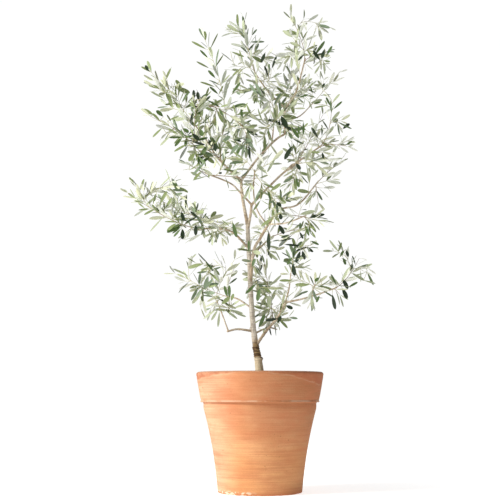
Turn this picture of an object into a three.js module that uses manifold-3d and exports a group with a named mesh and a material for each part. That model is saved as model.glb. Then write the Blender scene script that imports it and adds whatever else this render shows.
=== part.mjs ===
// Young olive tree in a terracotta pot.
//
// Frame: millimetres, +Z up, origin at the middle of the pot's flat underside, -Y is the front.
// The pot is turned on its own axis, the soil fills it, and the trunk rises from the soil. Every
// bough springs from a point on the limb that carries it, and every mass of foliage is a bunch of
// tapering sprays that fan out from the end of a bough.

import * as THREE from 'three';
import { mergeVertices } from 'three/addons/utils/BufferGeometryUtils.js';
import Module from 'manifold-3d';

const wasm = await Module();
wasm.setup();

// ---------------------------------------------------------------- driving dimensions

const GAP = 0.3; // clearance between pieces that touch
const FINEST = 0.1; // detail below this is smoothed away after a cut
const WELD = 1e-3; // corners closer than this are one corner

const POT = {
  height: 370,
  baseRadius: 131,
  wallSlope: 0.079, // growth of the radius per mm of height at the foot
  wallFlare: 3.85e-4, // growth of that slope towards the band
  wall: 16,
  floor: 20,
  bandHeight: 94,
  bandFootRadius: 185.5,
  rimRadius: 200,
  lipRound: 4,
  lipWidth: 24,
  neckRadius: 177, // the wall just below the band
  segments: 24,
  wallSteps: 3, // straight stretches up the curved wall
};

const DRAIN = { count: 3, radius: 8, circle: 66, sides: 10 };

const SOIL_TOP = 340;

const LIMB = { sides: 5, step: 55, fewest: 3, seat: 12 };

const SPRAY = {
  sides: 4,
  unevenness: 0.16,
  twist: 1.9,
  outline: [[0, 0.42], [0.34, 1.08], [0.74, 0.92], [1, 0.2]], // share of length, share of girth
  footStep: 1.7, // each foot is set back from the one before, so that no two are flush
  phaseStep: 0.37, // and turned by so many radians
  leanFrom: [0.8, 1.7], // radians of turn over which a spray comes to start towards its tip
  easyTurn: 1.08, // radians that a spray may turn away from its carrier with ease
};

const COLOURS = {
  clay: 0xd09a78,
  soil: 0x3b2c22,
  bark: 0x9a8a74,
  youngBark: 0xa79a78,
  leaf: 0x8f9878,
  paleLeaf: 0xa3aa8a,
};

// ---------------------------------------------------------------- limbs
//
// The trunk starts just under the soil and is cut flat at its top. Each limb: the limb that carries
// it, the place on the carrier's curve where it springs, from 0 at the foot to 1 at the tip, the
// points that it then passes through, and its radius at its foot and at its tip.

const TRUNK = {
  name: 'trunk',
  points: [
    [0, 0, SOIL_TOP - 8], [-1, 0, 372], [-6, 0, 412], [-17, 0, 480],
    [-26, 0, 575], [-31, 0, 675], [-39, 0, 842],
  ],
  radii: [21, 13.3, 12, 9, 8.1, 7.5, 6.3],
  sides: 10,
};

const LIMBS = [
  // the two leaders above the fork, and what the left one carries
  ['left_leader', 'trunk', 1, [[-54, 0, 922], [-60, 0, 985]], 5.2, 4.4],
  ['upper_left_bough', 'left_leader', 1, [[-97, -40, 1012], [-136, -75, 1045]], 4, 3],
  ['far_left_bough', 'upper_left_bough', 1, [[-175, -72, 1108], [-218, -62, 1168]], 2.6, 1.8],
  ['tall_left_stem', 'upper_left_bough', 0.85, [[-125, -30, 1098], [-113, 10, 1180]], 2.4, 1.8],
  ['rear_left_bough', 'upper_left_bough', 0.5, [[-130, 30, 1060], [-155, 90, 1105]], 3, 2.2],
  ['central_bough', 'left_leader', 1, [[-6, 8, 1060], [50, 15, 1122], [84, 20, 1146]], 3.8, 3.3],
  ['crown_stem', 'central_bough', 1, [[82, 21, 1190], [84, 25, 1234]], 3.2, 3],
  ['top_left_bough', 'crown_stem', 1, [[30, 36, 1293], [-11, 45, 1356]], 2.6, 2],
  ['top_right_bough', 'crown_stem', 1, [[120, 2, 1282], [150, -20, 1390]], 2.8, 2],
  ['crown_rear_bough', 'crown_stem', 0.9, [[100, 68, 1262], [114, 110, 1308]], 2.4, 1.8],
  ['second_stem', 'central_bough', 0.6, [[45, -18, 1156], [47, -40, 1214]], 2.4, 1.8],
  ['sprig_bough', 'crown_stem', 0.5, [[134, 48, 1214], [180, 70, 1265]], 2.2, 1.6],
  // the right leader
  ['right_leader', 'trunk', 0.985, [[-30, -10, 868], [-26, -20, 902]], 4.6, 4],
  ['cross_bough', 'right_leader', 1, [[-62, -38, 938], [-96, -55, 966], [-172, -95, 989]], 3, 2.2],
  ['east_bough', 'right_leader', 1, [[65, -40, 992], [128, -50, 1040], [197, -60, 1086]], 3.6, 2.4],
  ['east_rear_bough', 'east_bough', 0.45, [[112, 40, 1042], [148, 105, 1106]], 2.8, 2],
  ['mid_right_bough', 'east_bough', 0.45, [[104, -66, 1024], [130, -90, 1022]], 2.2, 1.7],
  // boughs of the trunk, from the top down
  ['left_mid_bough', 'trunk', 0.925, [[-86, -20, 812], [-140, -40, 821], [-186, -60, 817]], 3.6, 2.6],
  ['left_rear_bough', 'left_mid_bough', 0.45, [[-145, 40, 842], [-176, 95, 866]], 2.6, 2],
  ['right_stem', 'trunk', 0.8, [[-19, -20, 752], [2, -32, 792], [29, -50, 836]], 5, 4],
  ['right_stem_upper', 'right_stem', 1, [[60, -46, 880], [125, -35, 902], [190, -20, 980]], 3.2, 2.2],
  ['right_stem_lower', 'right_stem', 0.98, [[82, -90, 831], [142, -140, 846]], 2.6, 2],
  ['inner_riser', 'right_stem', 0.95, [[-9, -75, 876], [-20, -105, 932], [-16, -130, 992]], 2.4, 1.8],
  ['rear_low_bough', 'trunk', 0.875, [[-6, 90, 770], [40, 165, 826]], 3.4, 2.4],
  ['low_rear_left', 'trunk', 0.66, [[-70, 60, 606], [-110, 110, 620]], 2.8, 2],
  ['low_left_bough', 'trunk', 0.535, [[-70, -10, 504], [-103, -20, 496]], 3.6, 2.8],
  ['low_left_riser', 'low_left_bough', 0.94, [[-121, -22, 556], [-136, -25, 592]], 2.2, 1.7],
  ['low_right_bough', 'trunk', 0.44, [[22, -15, 500], [61, -30, 546], [80, -40, 586]], 4.6, 3.6],
  ['low_right_reach', 'low_right_bough', 1, [[132, -50, 596], [185, -60, 611], [240, -70, 630]], 3, 2],
  ['reach_riser', 'low_right_reach', 0.5, [[166, -62, 622], [172, -70, 642]], 2.2, 1.8],
  ['low_right_riser', 'low_right_bough', 0.97, [[91, -50, 626], [97, -60, 676]], 2.4, 1.8],
  ['low_back_bough', 'trunk', 0.52, [[26, 30, 511], [56, 60, 508]], 2.8, 2],
];

// ---------------------------------------------------------------- masses of foliage
//
// Each mass: the bough that ends in it, how far its sprays keep to their carrier's direction as a
// share of their reach, and the sprays, each with its tip and its greatest radius.

const MASSES = [
  ['foliage_upper_left_tip', 'far_left_bough', 0.3,
    [[-365, -80, 1345, 35], [-280, -30, 1315, 30], [-330, -115, 1260, 26], [-230, -45, 1255, 27]]],
  ['foliage_upper_left_heart', 'upper_left_bough', 0.3,
    [[-195, -110, 1250, 34], [-105, -150, 1185, 28], [-255, -130, 1090, 28],
      [-370, -110, 1185, 32], [-30, -140, 1085, 34], [-95, -130, 1050, 37]]],
  ['foliage_upper_left_rear', 'rear_left_bough', 0.3,
    [[-230, 130, 1280, 29], [-55, 110, 1230, 28], [-320, 150, 1200, 32], [-170, 200, 1270, 30],
      [-65, 170, 1145, 35]]],
  ['foliage_cross_spray', 'cross_bough', 0.3,
    [[-220, -110, 1000, 26], [-250, -134, 1020, 26], [-105, -160, 1030, 35]]],
  ['foliage_tall_left_shoot', 'tall_left_stem', 0.38, [[-190, 40, 1510, 35]]],
  ['foliage_top_middle', 'top_left_bough', 0.3,
    [[-55, 30, 1565, 33], [-105, -10, 1510, 28], [-100, 20, 1385, 28], [-10, 75, 1450, 31],
      [-85, -20, 1275, 30], [65, 90, 1400, 36]]],
  ['foliage_top_right', 'top_right_bough', 0.3,
    [[95, -60, 1545, 29], [155, -20, 1545, 25], [255, 0, 1500, 27], [95, 10, 1435, 35],
      [235, -70, 1405, 29]]],
  ['foliage_crown_rear', 'crown_rear_bough', 0.3,
    [[100, 140, 1415, 35], [195, 160, 1360, 30], [10, 180, 1365, 35], [150, 200, 1300, 30]]],
  ['foliage_right_sprig', 'sprig_bough', 0.3, [[290, 95, 1400, 29], [200, 40, 1365, 32]]],
  ['foliage_second_top', 'second_stem', 0.3,
    [[20, -90, 1260, 27], [-50, -90, 1190, 28], [80, -112, 1245, 26], [130, -86, 1210, 28],
      [-10, -120, 1110, 35]]],
  ['foliage_right_upper', 'east_bough', 0.3,
    [[240, -70, 1250, 29], [285, -50, 1180, 25], [125, -135, 1130, 26], [310, -20, 1095, 30]]],
  ['foliage_right_lower', 'right_stem_upper', 0.3,
    [[280, 0, 1065, 27], [230, -30, 950, 24], [195, 20, 890, 25]]],
  ['foliage_right_rear', 'east_rear_bough', 0.3,
    [[230, 150, 1270, 26], [265, 130, 1145, 30], [155, 175, 1005, 26], [85, 200, 1205, 33],
      [90, 120, 945, 32]]],
  ['foliage_mid_right', 'mid_right_bough', 0.3,
    [[230, -110, 1035, 34], [165, -100, 1000, 31], [100, -120, 950, 26], [95, -140, 1050, 28]]],
  ['foliage_centre_front', 'inner_riser', 0.2,
    [[50, -160, 1020, 30], [-50, -180, 1025, 31], [40, -185, 885, 35], [65, -170, 865, 35]]],
  ['foliage_left_mid', 'left_mid_bough', 0.3,
    [[-445, -60, 945, 28], [-410, -90, 975, 28], [-325, -40, 970, 33], [-265, -100, 960, 32],
      [-255, -110, 780, 32]]],
  ['foliage_left_mid_rear', 'left_rear_bough', 0.3,
    [[-380, 120, 965, 29], [-195, 140, 930, 29], [-85, 110, 810, 35], [-260, 210, 940, 31]]],
  ['foliage_right_hanging', 'right_stem_lower', 0.3,
    [[210, -160, 820, 25], [165, -175, 775, 30], [95, -165, 780, 27], [35, -170, 850, 33]]],
  ['foliage_right_riser', 'low_right_riser', 0.3,
    [[130, -90, 835, 25], [180, -112, 765, 30], [155, -60, 710, 33]]],
  ['foliage_low_centre', 'low_back_bough', 0.12,
    [[10, 62, 760, 29], [-30, 90, 730, 37], [35, 120, 640, 27], [-10, 110, 635, 38],
      [-10, 60, 520, 32]]],
  ['foliage_low_left', 'low_left_riser', 0.3,
    [[-290, -30, 695, 30], [-225, -12, 750, 26], [-170, -60, 710, 35], [-70, -90, 740, 24],
      [-185, -60, 540, 27], [-65, -80, 535, 28]]],
  ['foliage_low_left_rear', 'low_rear_left', 0.3,
    [[-220, 150, 665, 31], [-80, 160, 740, 26], [-180, 160, 570, 25]]],
  ['foliage_far_right', 'low_right_reach', 0.3,
    [[255, -60, 770, 27], [370, -40, 695, 29], [210, -112, 750, 24], [335, 0, 750, 25],
      [270, -72, 590, 25]]],
  ['foliage_reach_spray', 'reach_riser', 0.3,
    [[180, -60, 670, 25], [225, -92, 645, 25], [165, -76, 565, 28]]],
  ['foliage_rear_low', 'rear_low_bough', 0.3,
    [[175, 200, 870, 27], [-15, 220, 920, 33], [10, 230, 750, 30], [-70, 200, 810, 36]]],
];

// ---------------------------------------------------------------- solids

/** Turn a closed geometry into a manifold solid. */
function toSolid(geometry) {
  const bare = geometry.index ? geometry : mergeVertices(geometry);
  bare.deleteAttribute('normal');
  bare.deleteAttribute('uv');
  const merged = mergeVertices(bare, WELD);
  const index = merged.index.array;
  const kept = [];
  for (let i = 0; i < index.length; i += 3) {
    const [a, b, c] = [index[i], index[i + 1], index[i + 2]];
    if (a !== b && b !== c && c !== a) kept.push(a, b, c);
  }
  return new wasm.Manifold(new wasm.Mesh({
    numProp: 3,
    vertProperties: Float32Array.from(merged.attributes.position.array),
    triVerts: Uint32Array.from(kept),
  }));
}

/** Turn a manifold solid back into a geometry. */
function toGeometry(solid) {
  const mesh = solid.simplify(FINEST).getMesh();
  const geometry = new THREE.BufferGeometry();
  const positions = new Float32Array(mesh.numVert * 3);
  for (let v = 0; v < mesh.numVert; v += 1) {
    for (let axis = 0; axis < 3; axis += 1) {
      positions[v * 3 + axis] = mesh.vertProperties[v * mesh.numProp + axis];
    }
  }
  geometry.setAttribute('position', new THREE.BufferAttribute(positions, 3));
  geometry.setIndex(Array.from(mesh.triVerts));
  geometry.computeVertexNormals();
  return geometry;
}

/** Keep the largest body of a solid that a cut may have divided. */
function largest(solid) {
  const bodies = solid.decompose();
  return bodies.reduce((best, body) => (body.volume() > best.volume() ? body : best));
}

/** Turn a profile of [radius, height] points about the upright axis. */
function turned(profile) {
  const points = profile.map(([radius, height]) => new THREE.Vector2(radius, height));
  const geometry = new THREE.LatheGeometry(points, POT.segments);
  geometry.rotateX(Math.PI / 2);
  return toSolid(geometry);
}

/**
 * Loft rings of the given radii along a curve, closed by a flat or pointed end at each end.
 * Every ring is {t, radius}; unevenness makes each corner of a ring stand in or out a little, and
 * phase turns the rings about the curve.
 */
function lofted(curve, rings, sides, unevenness = 0, phase = 0) {
  const positions = [];
  const index = [];
  const normal = new THREE.Vector3();
  const binormal = new THREE.Vector3();
  const side = new THREE.Vector3(0, 1, 0);
  rings.forEach(({ t, radius, shift = 0 }, ring) => {
    const tangent = curve.getTangent(t);
    const centre = curve.getPoint(t).addScaledVector(tangent, shift);
    if (ring === 0 && Math.abs(tangent.y) > 0.9) side.set(1, 0, 0);
    normal.crossVectors(side, tangent).normalize();
    binormal.crossVectors(tangent, normal).normalize();
    side.copy(binormal);
    for (let k = 0; k < sides; k += 1) {
      const angle = (2 * Math.PI * k) / sides + phase;
      const wobble = 1 + unevenness * Math.sin(SPRAY.twist * (ring * sides + k) + 3 * angle);
      const reach = radius * wobble;
      positions.push(
        centre.x + reach * (Math.cos(angle) * normal.x + Math.sin(angle) * binormal.x),
        centre.y + reach * (Math.cos(angle) * normal.y + Math.sin(angle) * binormal.y),
        centre.z + reach * (Math.cos(angle) * normal.z + Math.sin(angle) * binormal.z),
      );
    }
  });
  for (let ring = 0; ring + 1 < rings.length; ring += 1) {
    for (let k = 0; k < sides; k += 1) {
      const a = ring * sides + k;
      const b = ring * sides + ((k + 1) % sides);
      index.push(a, b, b + sides, a, b + sides, a + sides);
    }
  }
  const last = (rings.length - 1) * sides;
  for (let k = 1; k + 1 < sides; k += 1) {
    index.push(0, k + 1, k);
    index.push(last, last + k, last + k + 1);
  }
  const geometry = new THREE.BufferGeometry();
  geometry.setAttribute('position', new THREE.Float32BufferAttribute(positions, 3));
  geometry.setIndex(index);
  return toSolid(geometry);
}

/** The radius at share t of a limb whose radii are evenly spread along it. */
function radiusAt(radii, t) {
  const place = Math.min(t, 1) * (radii.length - 1);
  const low = Math.min(Math.floor(place), radii.length - 2);
  return radii[low] + (radii[low + 1] - radii[low]) * (place - low);
}

/** A limb's solid, grown by a clearance all round when it is used as a cutter. */
function limbSolid(limb, clearance = 0) {
  const count = Math.max(LIMB.fewest, Math.round(limb.curve.getLength() / LIMB.step));
  const rings = [];
  for (let i = 0; i <= count; i += 1) {
    const t = i / count;
    const end = (i === 0 ? -1 : 0) + (i === count ? 1 : 0);
    rings.push({ t, radius: radiusAt(limb.radii, t) + clearance, shift: end * clearance });
  }
  return lofted(limb.curve, rings, limb.sides);
}

/** Where a new spray springs from: the bough's end, or an earlier spray that passes near. */
function forkOf(leaders, foot, goal) {
  const places = [foot];
  leaders.forEach((curve) => {
    for (let k = 2; k < 10; k += 1) {
      places.push({ root: curve.getPoint(k / 12), heading: curve.getTangent(k / 12) });
    }
  });
  const cost = ({ root, heading }) => {
    const way = goal.clone().sub(root);
    const turn = way.angleTo(heading) / SPRAY.easyTurn;
    return way.length() * (1 + 0.5 * turn ** 2);
  };
  return places.reduce((best, place) => (cost(place) < cost(best) ? place : best));
}

/** A mass's sprays, the longest first, each with its curve and its greatest radius. */
function growSprays(foot, bend, tips) {
  const sprays = tips.map(([x, y, z, girth]) => ({ goal: new THREE.Vector3(x, y, z), girth }));
  sprays.sort((a, b) => b.goal.distanceTo(foot.root) - a.goal.distanceTo(foot.root));
  const leaders = [];
  sprays.forEach((spray) => {
    const { root, heading } = forkOf(leaders, foot, spray.goal);
    const way = spray.goal.clone().sub(root);
    const lean = THREE.MathUtils.smoothstep(way.angleTo(heading), ...SPRAY.leanFrom);
    const start = heading.clone().lerp(way.clone().normalize(), lean).normalize();
    const knee = root.clone().addScaledVector(start, bend * way.length());
    spray.curve = new THREE.QuadraticBezierCurve3(root, knee, spray.goal);
    leaders.push(spray.curve);
  });
  return sprays;
}

/** One spray: a bud-shaped, uneven finger from its carrier to its tip. */
function spraySolid({ curve, girth }, order, clearance = 0) {
  const rings = SPRAY.outline.map(([t, share]) => ({
    t, radius: share * girth + clearance, shift: t === 1 ? clearance : 0,
  }));
  rings[0].shift = -order * SPRAY.footStep;
  return lofted(curve, rings, SPRAY.sides, SPRAY.unevenness, order * SPRAY.phaseStep);
}

/** A mass of foliage: its sprays joined into one solid. */
function massSolid(mass, clearance = 0) {
  return mass.sprays
    .map((spray, order) => spraySolid(spray, order, clearance))
    .reduce((whole, spray) => whole.add(spray));
}

// ---------------------------------------------------------------- pot and soil

/** The outer radius of the pot's wall at a height, below the band. */
function wallRadius(height) {
  return Math.min(POT.baseRadius + POT.wallSlope * height + POT.wallFlare * height ** 2,
    POT.neckRadius);
}

/** The inner radius of the pot at a height, straight inside the band. */
function innerRadius(height) {
  const bandFoot = POT.height - POT.bandHeight;
  if (height <= bandFoot) return wallRadius(height) - POT.wall;
  const foot = wallRadius(bandFoot) - POT.wall;
  const lip = POT.rimRadius - POT.lipWidth;
  return foot + ((lip - foot) * (height - bandFoot)) / POT.bandHeight;
}

/** Profile points up the inside of the wall, from the floor to the soil's top. */
function innerWall(clearance) {
  const bandFoot = POT.height - POT.bandHeight;
  const heights = [];
  for (let i = 0; i <= POT.wallSteps; i += 1) {
    heights.push(POT.floor + ((bandFoot - POT.floor) * i) / POT.wallSteps);
  }
  heights.push(SOIL_TOP);
  return heights.map((height) => [innerRadius(height) - clearance, height]);
}

/** The pot: a flared wall under a deep rim band, with drain holes through its floor. */
function potSolid() {
  const bandFoot = POT.height - POT.bandHeight;
  const outer = [[0, 0]];
  for (let i = 0; i <= POT.wallSteps; i += 1) {
    const height = (bandFoot * i) / POT.wallSteps;
    outer.push([wallRadius(height), height]);
  }
  const lipInner = POT.rimRadius - POT.lipWidth;
  const band = [
    [POT.bandFootRadius, bandFoot],
    [POT.rimRadius, POT.height - POT.lipRound],
    [POT.rimRadius - POT.lipRound, POT.height],
    [lipInner + POT.lipRound, POT.height],
  ];
  const lipFoot = POT.height - POT.lipRound;
  const inner = [[innerRadius(lipFoot), lipFoot], ...innerWall(0).reverse()];
  let pot = turned([...outer, ...band, ...inner, [0, POT.floor]]);
  for (let i = 0; i < DRAIN.count; i += 1) {
    const angle = (2 * Math.PI * i) / DRAIN.count;
    const hole = new THREE.CylinderGeometry(DRAIN.radius, DRAIN.radius, 3 * POT.floor, DRAIN.sides);
    hole.rotateX(Math.PI / 2);
    hole.translate(DRAIN.circle * Math.cos(angle), DRAIN.circle * Math.sin(angle), 0);
    pot = pot.subtract(toSolid(hole));
  }
  return pot;
}

/** The ground under the trunk's flat foot, as a cutter. */
function groundSolid() {
  const depth = 80;
  const slab = new THREE.BoxGeometry(2 * POT.rimRadius, 2 * POT.rimRadius, depth);
  slab.translate(0, 0, SOIL_TOP + GAP - depth / 2);
  return toSolid(slab);
}

/** The soil: it fills the pot to below the lip. */
function soilSolid() {
  const wall = innerWall(GAP);
  wall[0][1] += GAP;
  return turned([[0, POT.floor + GAP], ...wall, [0, SOIL_TOP]]);
}

// ---------------------------------------------------------------- the tree

/** All limbs by name, each with its curve, from the trunk outwards. */
function growLimbs() {
  const vector = (point) => new THREE.Vector3(...point);
  const trunk = {
    name: TRUNK.name,
    curve: new THREE.CatmullRomCurve3(TRUNK.points.map(vector), false, 'catmullrom'),
    radii: TRUNK.radii,
    sides: TRUNK.sides,
  };
  const limbs = new Map([[trunk.name, trunk]]);
  LIMBS.forEach(([name, carrier, share, points, foot, tip]) => {
    const start = limbs.get(carrier).curve.getPoint(share);
    const path = [start, ...points.map(vector)];
    const curve = new THREE.CatmullRomCurve3(path, false, 'catmullrom');
    limbs.set(name, { name, curve, radii: [foot, tip], sides: LIMB.sides });
  });
  return limbs;
}

/** All masses, each rooted a little before the end of the bough that enters it. */
function growMasses(limbs) {
  return MASSES.map(([name, bough, bend, tips]) => {
    const { curve } = limbs.get(bough);
    const t = 1 - LIMB.seat / curve.getLength();
    const foot = { root: curve.getPoint(t), heading: curve.getTangent(t) };
    return { name, sprays: growSprays(foot, bend, tips) };
  });
}

/** Cut a solid by every cutter whose box meets its own. */
function cutClear(solid, cutters) {
  const box = solid.boundingBox();
  const meets = (other) => [0, 1, 2].every(
    (axis) => other.min[axis] < box.max[axis] && other.max[axis] > box.min[axis],
  );
  const near = cutters.filter((cutter) => meets(cutter.boundingBox()));
  return near.length ? largest(near.reduce((rest, cutter) => rest.subtract(cutter), solid)) : solid;
}

/** A plain, unpolished material. */
function material(colour, roughness) {
  return new THREE.MeshStandardMaterial({ color: colour, roughness, metalness: 0 });
}

/** A named mesh of a solid. */
function node(name, solid, colour, roughness) {
  const mesh = new THREE.Mesh(toGeometry(solid), material(colour, roughness));
  mesh.name = name;
  return mesh;
}

function buildTree() {
  const group = new THREE.Group();
  group.add(node('pot', potSolid(), COLOURS.clay, 0.9));
  group.add(node('soil', soilSolid(), COLOURS.soil, 0.95));

  const limbs = growLimbs();
  const cutters = [groundSolid()];
  limbs.forEach((limb) => {
    const solid = cutClear(limbSolid(limb), cutters);
    const colour = limb.name === 'trunk' ? COLOURS.bark : COLOURS.youngBark;
    group.add(node(limb.name, solid, colour, 0.85));
    cutters.push(limbSolid(limb, GAP));
  });

  growMasses(limbs).forEach((mass, i) => {
    const solid = cutClear(massSolid(mass), cutters);
    group.add(node(mass.name, solid, i % 2 ? COLOURS.leaf : COLOURS.paleLeaf, 0.7));
    cutters.push(massSolid(mass, GAP));
  });
  return group;
}

export default buildTree();
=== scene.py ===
"""Visual model of a young olive tree in a terracotta pot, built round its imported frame.

The named sizes are millimetres in the frame's axes (+Z up, -Y to the front); every mesh is in
metres, and so are the places in the finishes. The pot, soil, trunk and boughs follow the solids of
the same names. Each mass of foliage is grown by a seeded rule: leafy shoots fan out from the end of
a bough to the tips of its sprays.
"""

from __future__ import annotations

import logging
import math
import random
from dataclasses import dataclass, field
from enum import Enum
from typing import Callable, Sequence

import bpy
from mathutils import Matrix, Vector, noise


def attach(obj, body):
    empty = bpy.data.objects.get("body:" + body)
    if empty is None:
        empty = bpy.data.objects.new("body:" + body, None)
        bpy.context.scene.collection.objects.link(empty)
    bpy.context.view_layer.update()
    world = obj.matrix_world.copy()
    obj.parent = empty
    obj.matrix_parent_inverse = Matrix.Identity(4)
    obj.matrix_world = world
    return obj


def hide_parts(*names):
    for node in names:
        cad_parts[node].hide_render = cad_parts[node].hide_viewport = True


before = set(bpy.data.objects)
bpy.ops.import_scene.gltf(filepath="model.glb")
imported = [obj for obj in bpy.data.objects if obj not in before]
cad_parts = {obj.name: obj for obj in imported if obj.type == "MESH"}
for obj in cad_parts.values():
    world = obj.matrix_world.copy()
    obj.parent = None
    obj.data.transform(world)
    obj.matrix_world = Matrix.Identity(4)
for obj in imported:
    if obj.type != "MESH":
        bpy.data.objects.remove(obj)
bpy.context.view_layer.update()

log = logging.getLogger("olive")

MM = 0.001
SEED = 41
SOIL_TOP = 340.0
FULL_TURN = 2 * math.pi
Point = tuple[float, float, float]
Colour = tuple[float, float, float]
Span = tuple[float, float]


# ------------------------------------------------------------------------------ small helpers


def srgb(red: int, green: int, blue: int) -> Colour:
    """Turn display values from 0 to 255 into the linear colour of a shader.

    Args:
        red: red display value.
        green: green display value.
        blue: blue display value.

    Returns:
        The linear colour.
    """
    shares = (value / 255 for value in (red, green, blue))
    return tuple(s / 12.92 if s <= 0.04045 else ((s + 0.055) / 1.055) ** 2.4 for s in shares)


def smooth(low: float, high: float, value: float) -> float:
    """Ease a value from 0 at low to 1 at high.

    Args:
        low: the value that gives 0.
        high: the value that gives 1.
        value: the value to ease.

    Returns:
        A share between 0 and 1.
    """
    share = min(max((value - low) / (high - low), 0.0), 1.0)
    return share * share * (3 - 2 * share)


def ripple(place: Vector, scale: float, seed: float = 0.0) -> float:
    """Read smooth noise between about -1 and 1 at a place.

    Args:
        place: where to read it, in mm.
        scale: how many noise cells there are for each mm.
        seed: moves the pattern.

    Returns:
        The noise value.
    """
    return noise.noise(place * scale + Vector((seed, seed * 1.7, seed * 0.3)))


def spread(start: float, stop: float, steps: int) -> list[float]:
    """Space values evenly, both ends among them.

    Args:
        start: the first value.
        stop: the last value.
        steps: how many stretches lie between them.

    Returns:
        The values.
    """
    return [start + (stop - start) * i / steps for i in range(steps + 1)]


def turned(radius: float, angle: float, height: float) -> Vector:
    """Find a point round the pot's axis.

    Args:
        radius: its distance from the axis.
        angle: its angle, from +X to +Y.
        height: its height.

    Returns:
        The point.
    """
    return Vector((radius * math.cos(angle), radius * math.sin(angle), height))


@dataclass
class MeshMaker:
    """Gathers the corners and faces of one joined mesh."""

    corners: list[Vector] = field(default_factory=list)
    faces: list[tuple[int, ...]] = field(default_factory=list)
    slots: list[int] = field(default_factory=list)

    def add(self, corners: Sequence[Vector], faces: Sequence[tuple[int, ...]], slot: int = 0) -> None:
        """Add a patch of faces.

        Args:
            corners: the patch's own corners, in mm.
            faces: its faces, as places in corners.
            slot: the material slot that they wear.
        """
        first = len(self.corners)
        self.corners.extend(corners)
        self.faces.extend(tuple(first + k for k in face) for face in faces)
        self.slots.extend([slot] * len(faces))

    def stack(self, foot: Vector, rings: Sequence[Sequence[Vector]], tip: Vector, slot: int = 0) -> None:
        """Add a closed skin through a stack of rings, with a fan to a point at each end.

        Args:
            foot: the point before the first ring.
            rings: rings of as many corners each, anticlockwise seen from the tip.
            tip: the point after the last ring.
            slot: the material slot that it wears.
        """
        sides = len(rings[0])
        corners = [corner for ring in rings for corner in ring]
        last = len(corners) - sides
        faces: list[tuple[int, ...]] = [
            (low + k, low + (k + 1) % sides, low + sides + (k + 1) % sides, low + sides + k)
            for low in range(0, last, sides) for k in range(sides)
        ]
        for k in range(sides):
            follow = (k + 1) % sides
            faces += [(last + sides, follow, k), (last + sides + 1, last + k, last + follow)]
        self.add([*corners, foot, tip], faces, slot)

    def build(self, name: str, materials: Sequence[bpy.types.Material],
              crease: float) -> bpy.types.Object:
        """Make the object.

        Args:
            name: the piece's name.
            materials: its materials, in the order of the slots.
            crease: edges sharper than this angle, in degrees, stay sharp.

        Returns:
            The new object, in metres.
        """
        mesh = bpy.data.meshes.new(name)
        mesh.from_pydata([corner * MM for corner in self.corners], [], self.faces)
        for material in materials:
            mesh.materials.append(material)
        mesh.polygons.foreach_set("material_index", self.slots)
        mesh.polygons.foreach_set("use_smooth", [True] * len(self.faces))
        mesh.set_sharp_from_angle(angle=math.radians(crease))
        mesh.update()
        piece = bpy.data.objects.new(name, mesh)
        bpy.context.scene.collection.objects.link(piece)
        return piece


def settle(piece: bpy.types.Object, nodes: Sequence[str] = ()) -> None:
    """Tie a piece to the tree's one body and report it.

    Args:
        piece: the new piece.
        nodes: the solids that it stands for.
    """
    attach(piece, "root")
    if nodes:
        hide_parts(*nodes)
    log.info("%s: %d faces", piece.name, len(piece.data.polygons))


# ------------------------------------------------------------------------------ routes


class Route:
    """A smooth centreline through a few points; t runs from 0 at its foot to 1 at its tip."""

    def __init__(self, points: Sequence[Vector]) -> None:
        """Keep the points, with one more past each end.

        Args:
            points: two or more points, in mm.
        """
        before = points[0] * 2 - points[1]
        after = points[-1] * 2 - points[-2]
        self.points = [before, *points, after]
        self.spans = len(points) - 1

    def at(self, t: float) -> Vector:
        """Find the point at t.

        Args:
            t: the place along the route.

        Returns:
            The point, in mm.
        """
        place = min(max(t, 0.0), 1.0) * self.spans
        span = min(int(place), self.spans - 1)
        u = place - span
        a, b, c, d = self.points[span:span + 4]
        return 0.5 * (2 * b + (c - a) * u + (2 * a - 5 * b + 4 * c - d) * u**2
                      + (3 * b - a - 3 * c + d) * u**3)

    def heading(self, t: float) -> Vector:
        """Find the unit direction at t."""
        return (self.at(min(t + 0.01, 1.0)) - self.at(max(t - 0.01, 0.0))).normalized()

    def length(self) -> float:
        """Measure the route along twenty steps."""
        places = [self.at(i / 20) for i in range(21)]
        return sum((b - a).length for a, b in zip(places, places[1:]))


def bent(root: Vector, heading: Vector, tip: Vector, bend: float, points: int = 5) -> Route:
    """Lay a route that leaves a root along a heading and bends over to a tip.

    Args:
        root: where it starts.
        heading: the unit direction that it starts in.
        tip: where it ends.
        bend: how far it keeps to the heading, as a share of the reach.
        points: how many points it is drawn through.

    Returns:
        The route.
    """
    corner = root + heading * (tip - root).length * bend
    shares = [i / (points - 1) for i in range(points)]
    return Route([root * (1 - s) ** 2 + corner * 2 * s * (1 - s) + tip * s**2 for s in shares])


def sleeve(maker: MeshMaker, route: Route, girth: Callable[[float, float], float],
           sides: int, step: float, slot: int = 0) -> None:
    """Loft a closed round skin along a route.

    Args:
        maker: where the faces go.
        route: the centreline.
        girth: gives the radius at a place along the route and an angle round it.
        sides: how many corners each ring has.
        step: the distance between rings, in mm.
        slot: the material slot.
    """
    rings: list[list[Vector]] = []
    side = Vector((0, 1, 0)) if abs(route.heading(0).y) < 0.9 else Vector((1, 0, 0))
    for t in spread(0, 1, max(3, round(route.length() / step))):
        centre, ahead = route.at(t), route.heading(t)
        across = side.cross(ahead).normalized()
        side = ahead.cross(across).normalized()
        angles = [FULL_TURN * k / sides for k in range(sides)]
        rings.append([centre + (across * math.cos(a) + side * math.sin(a)) * girth(t, a) for a in angles])
    dome = route.heading(1) * girth(1, 0) * 0.6
    maker.stack(route.at(0), rings, route.at(1) + dome, slot)


# ------------------------------------------------------------------------------ shader tools


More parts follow.
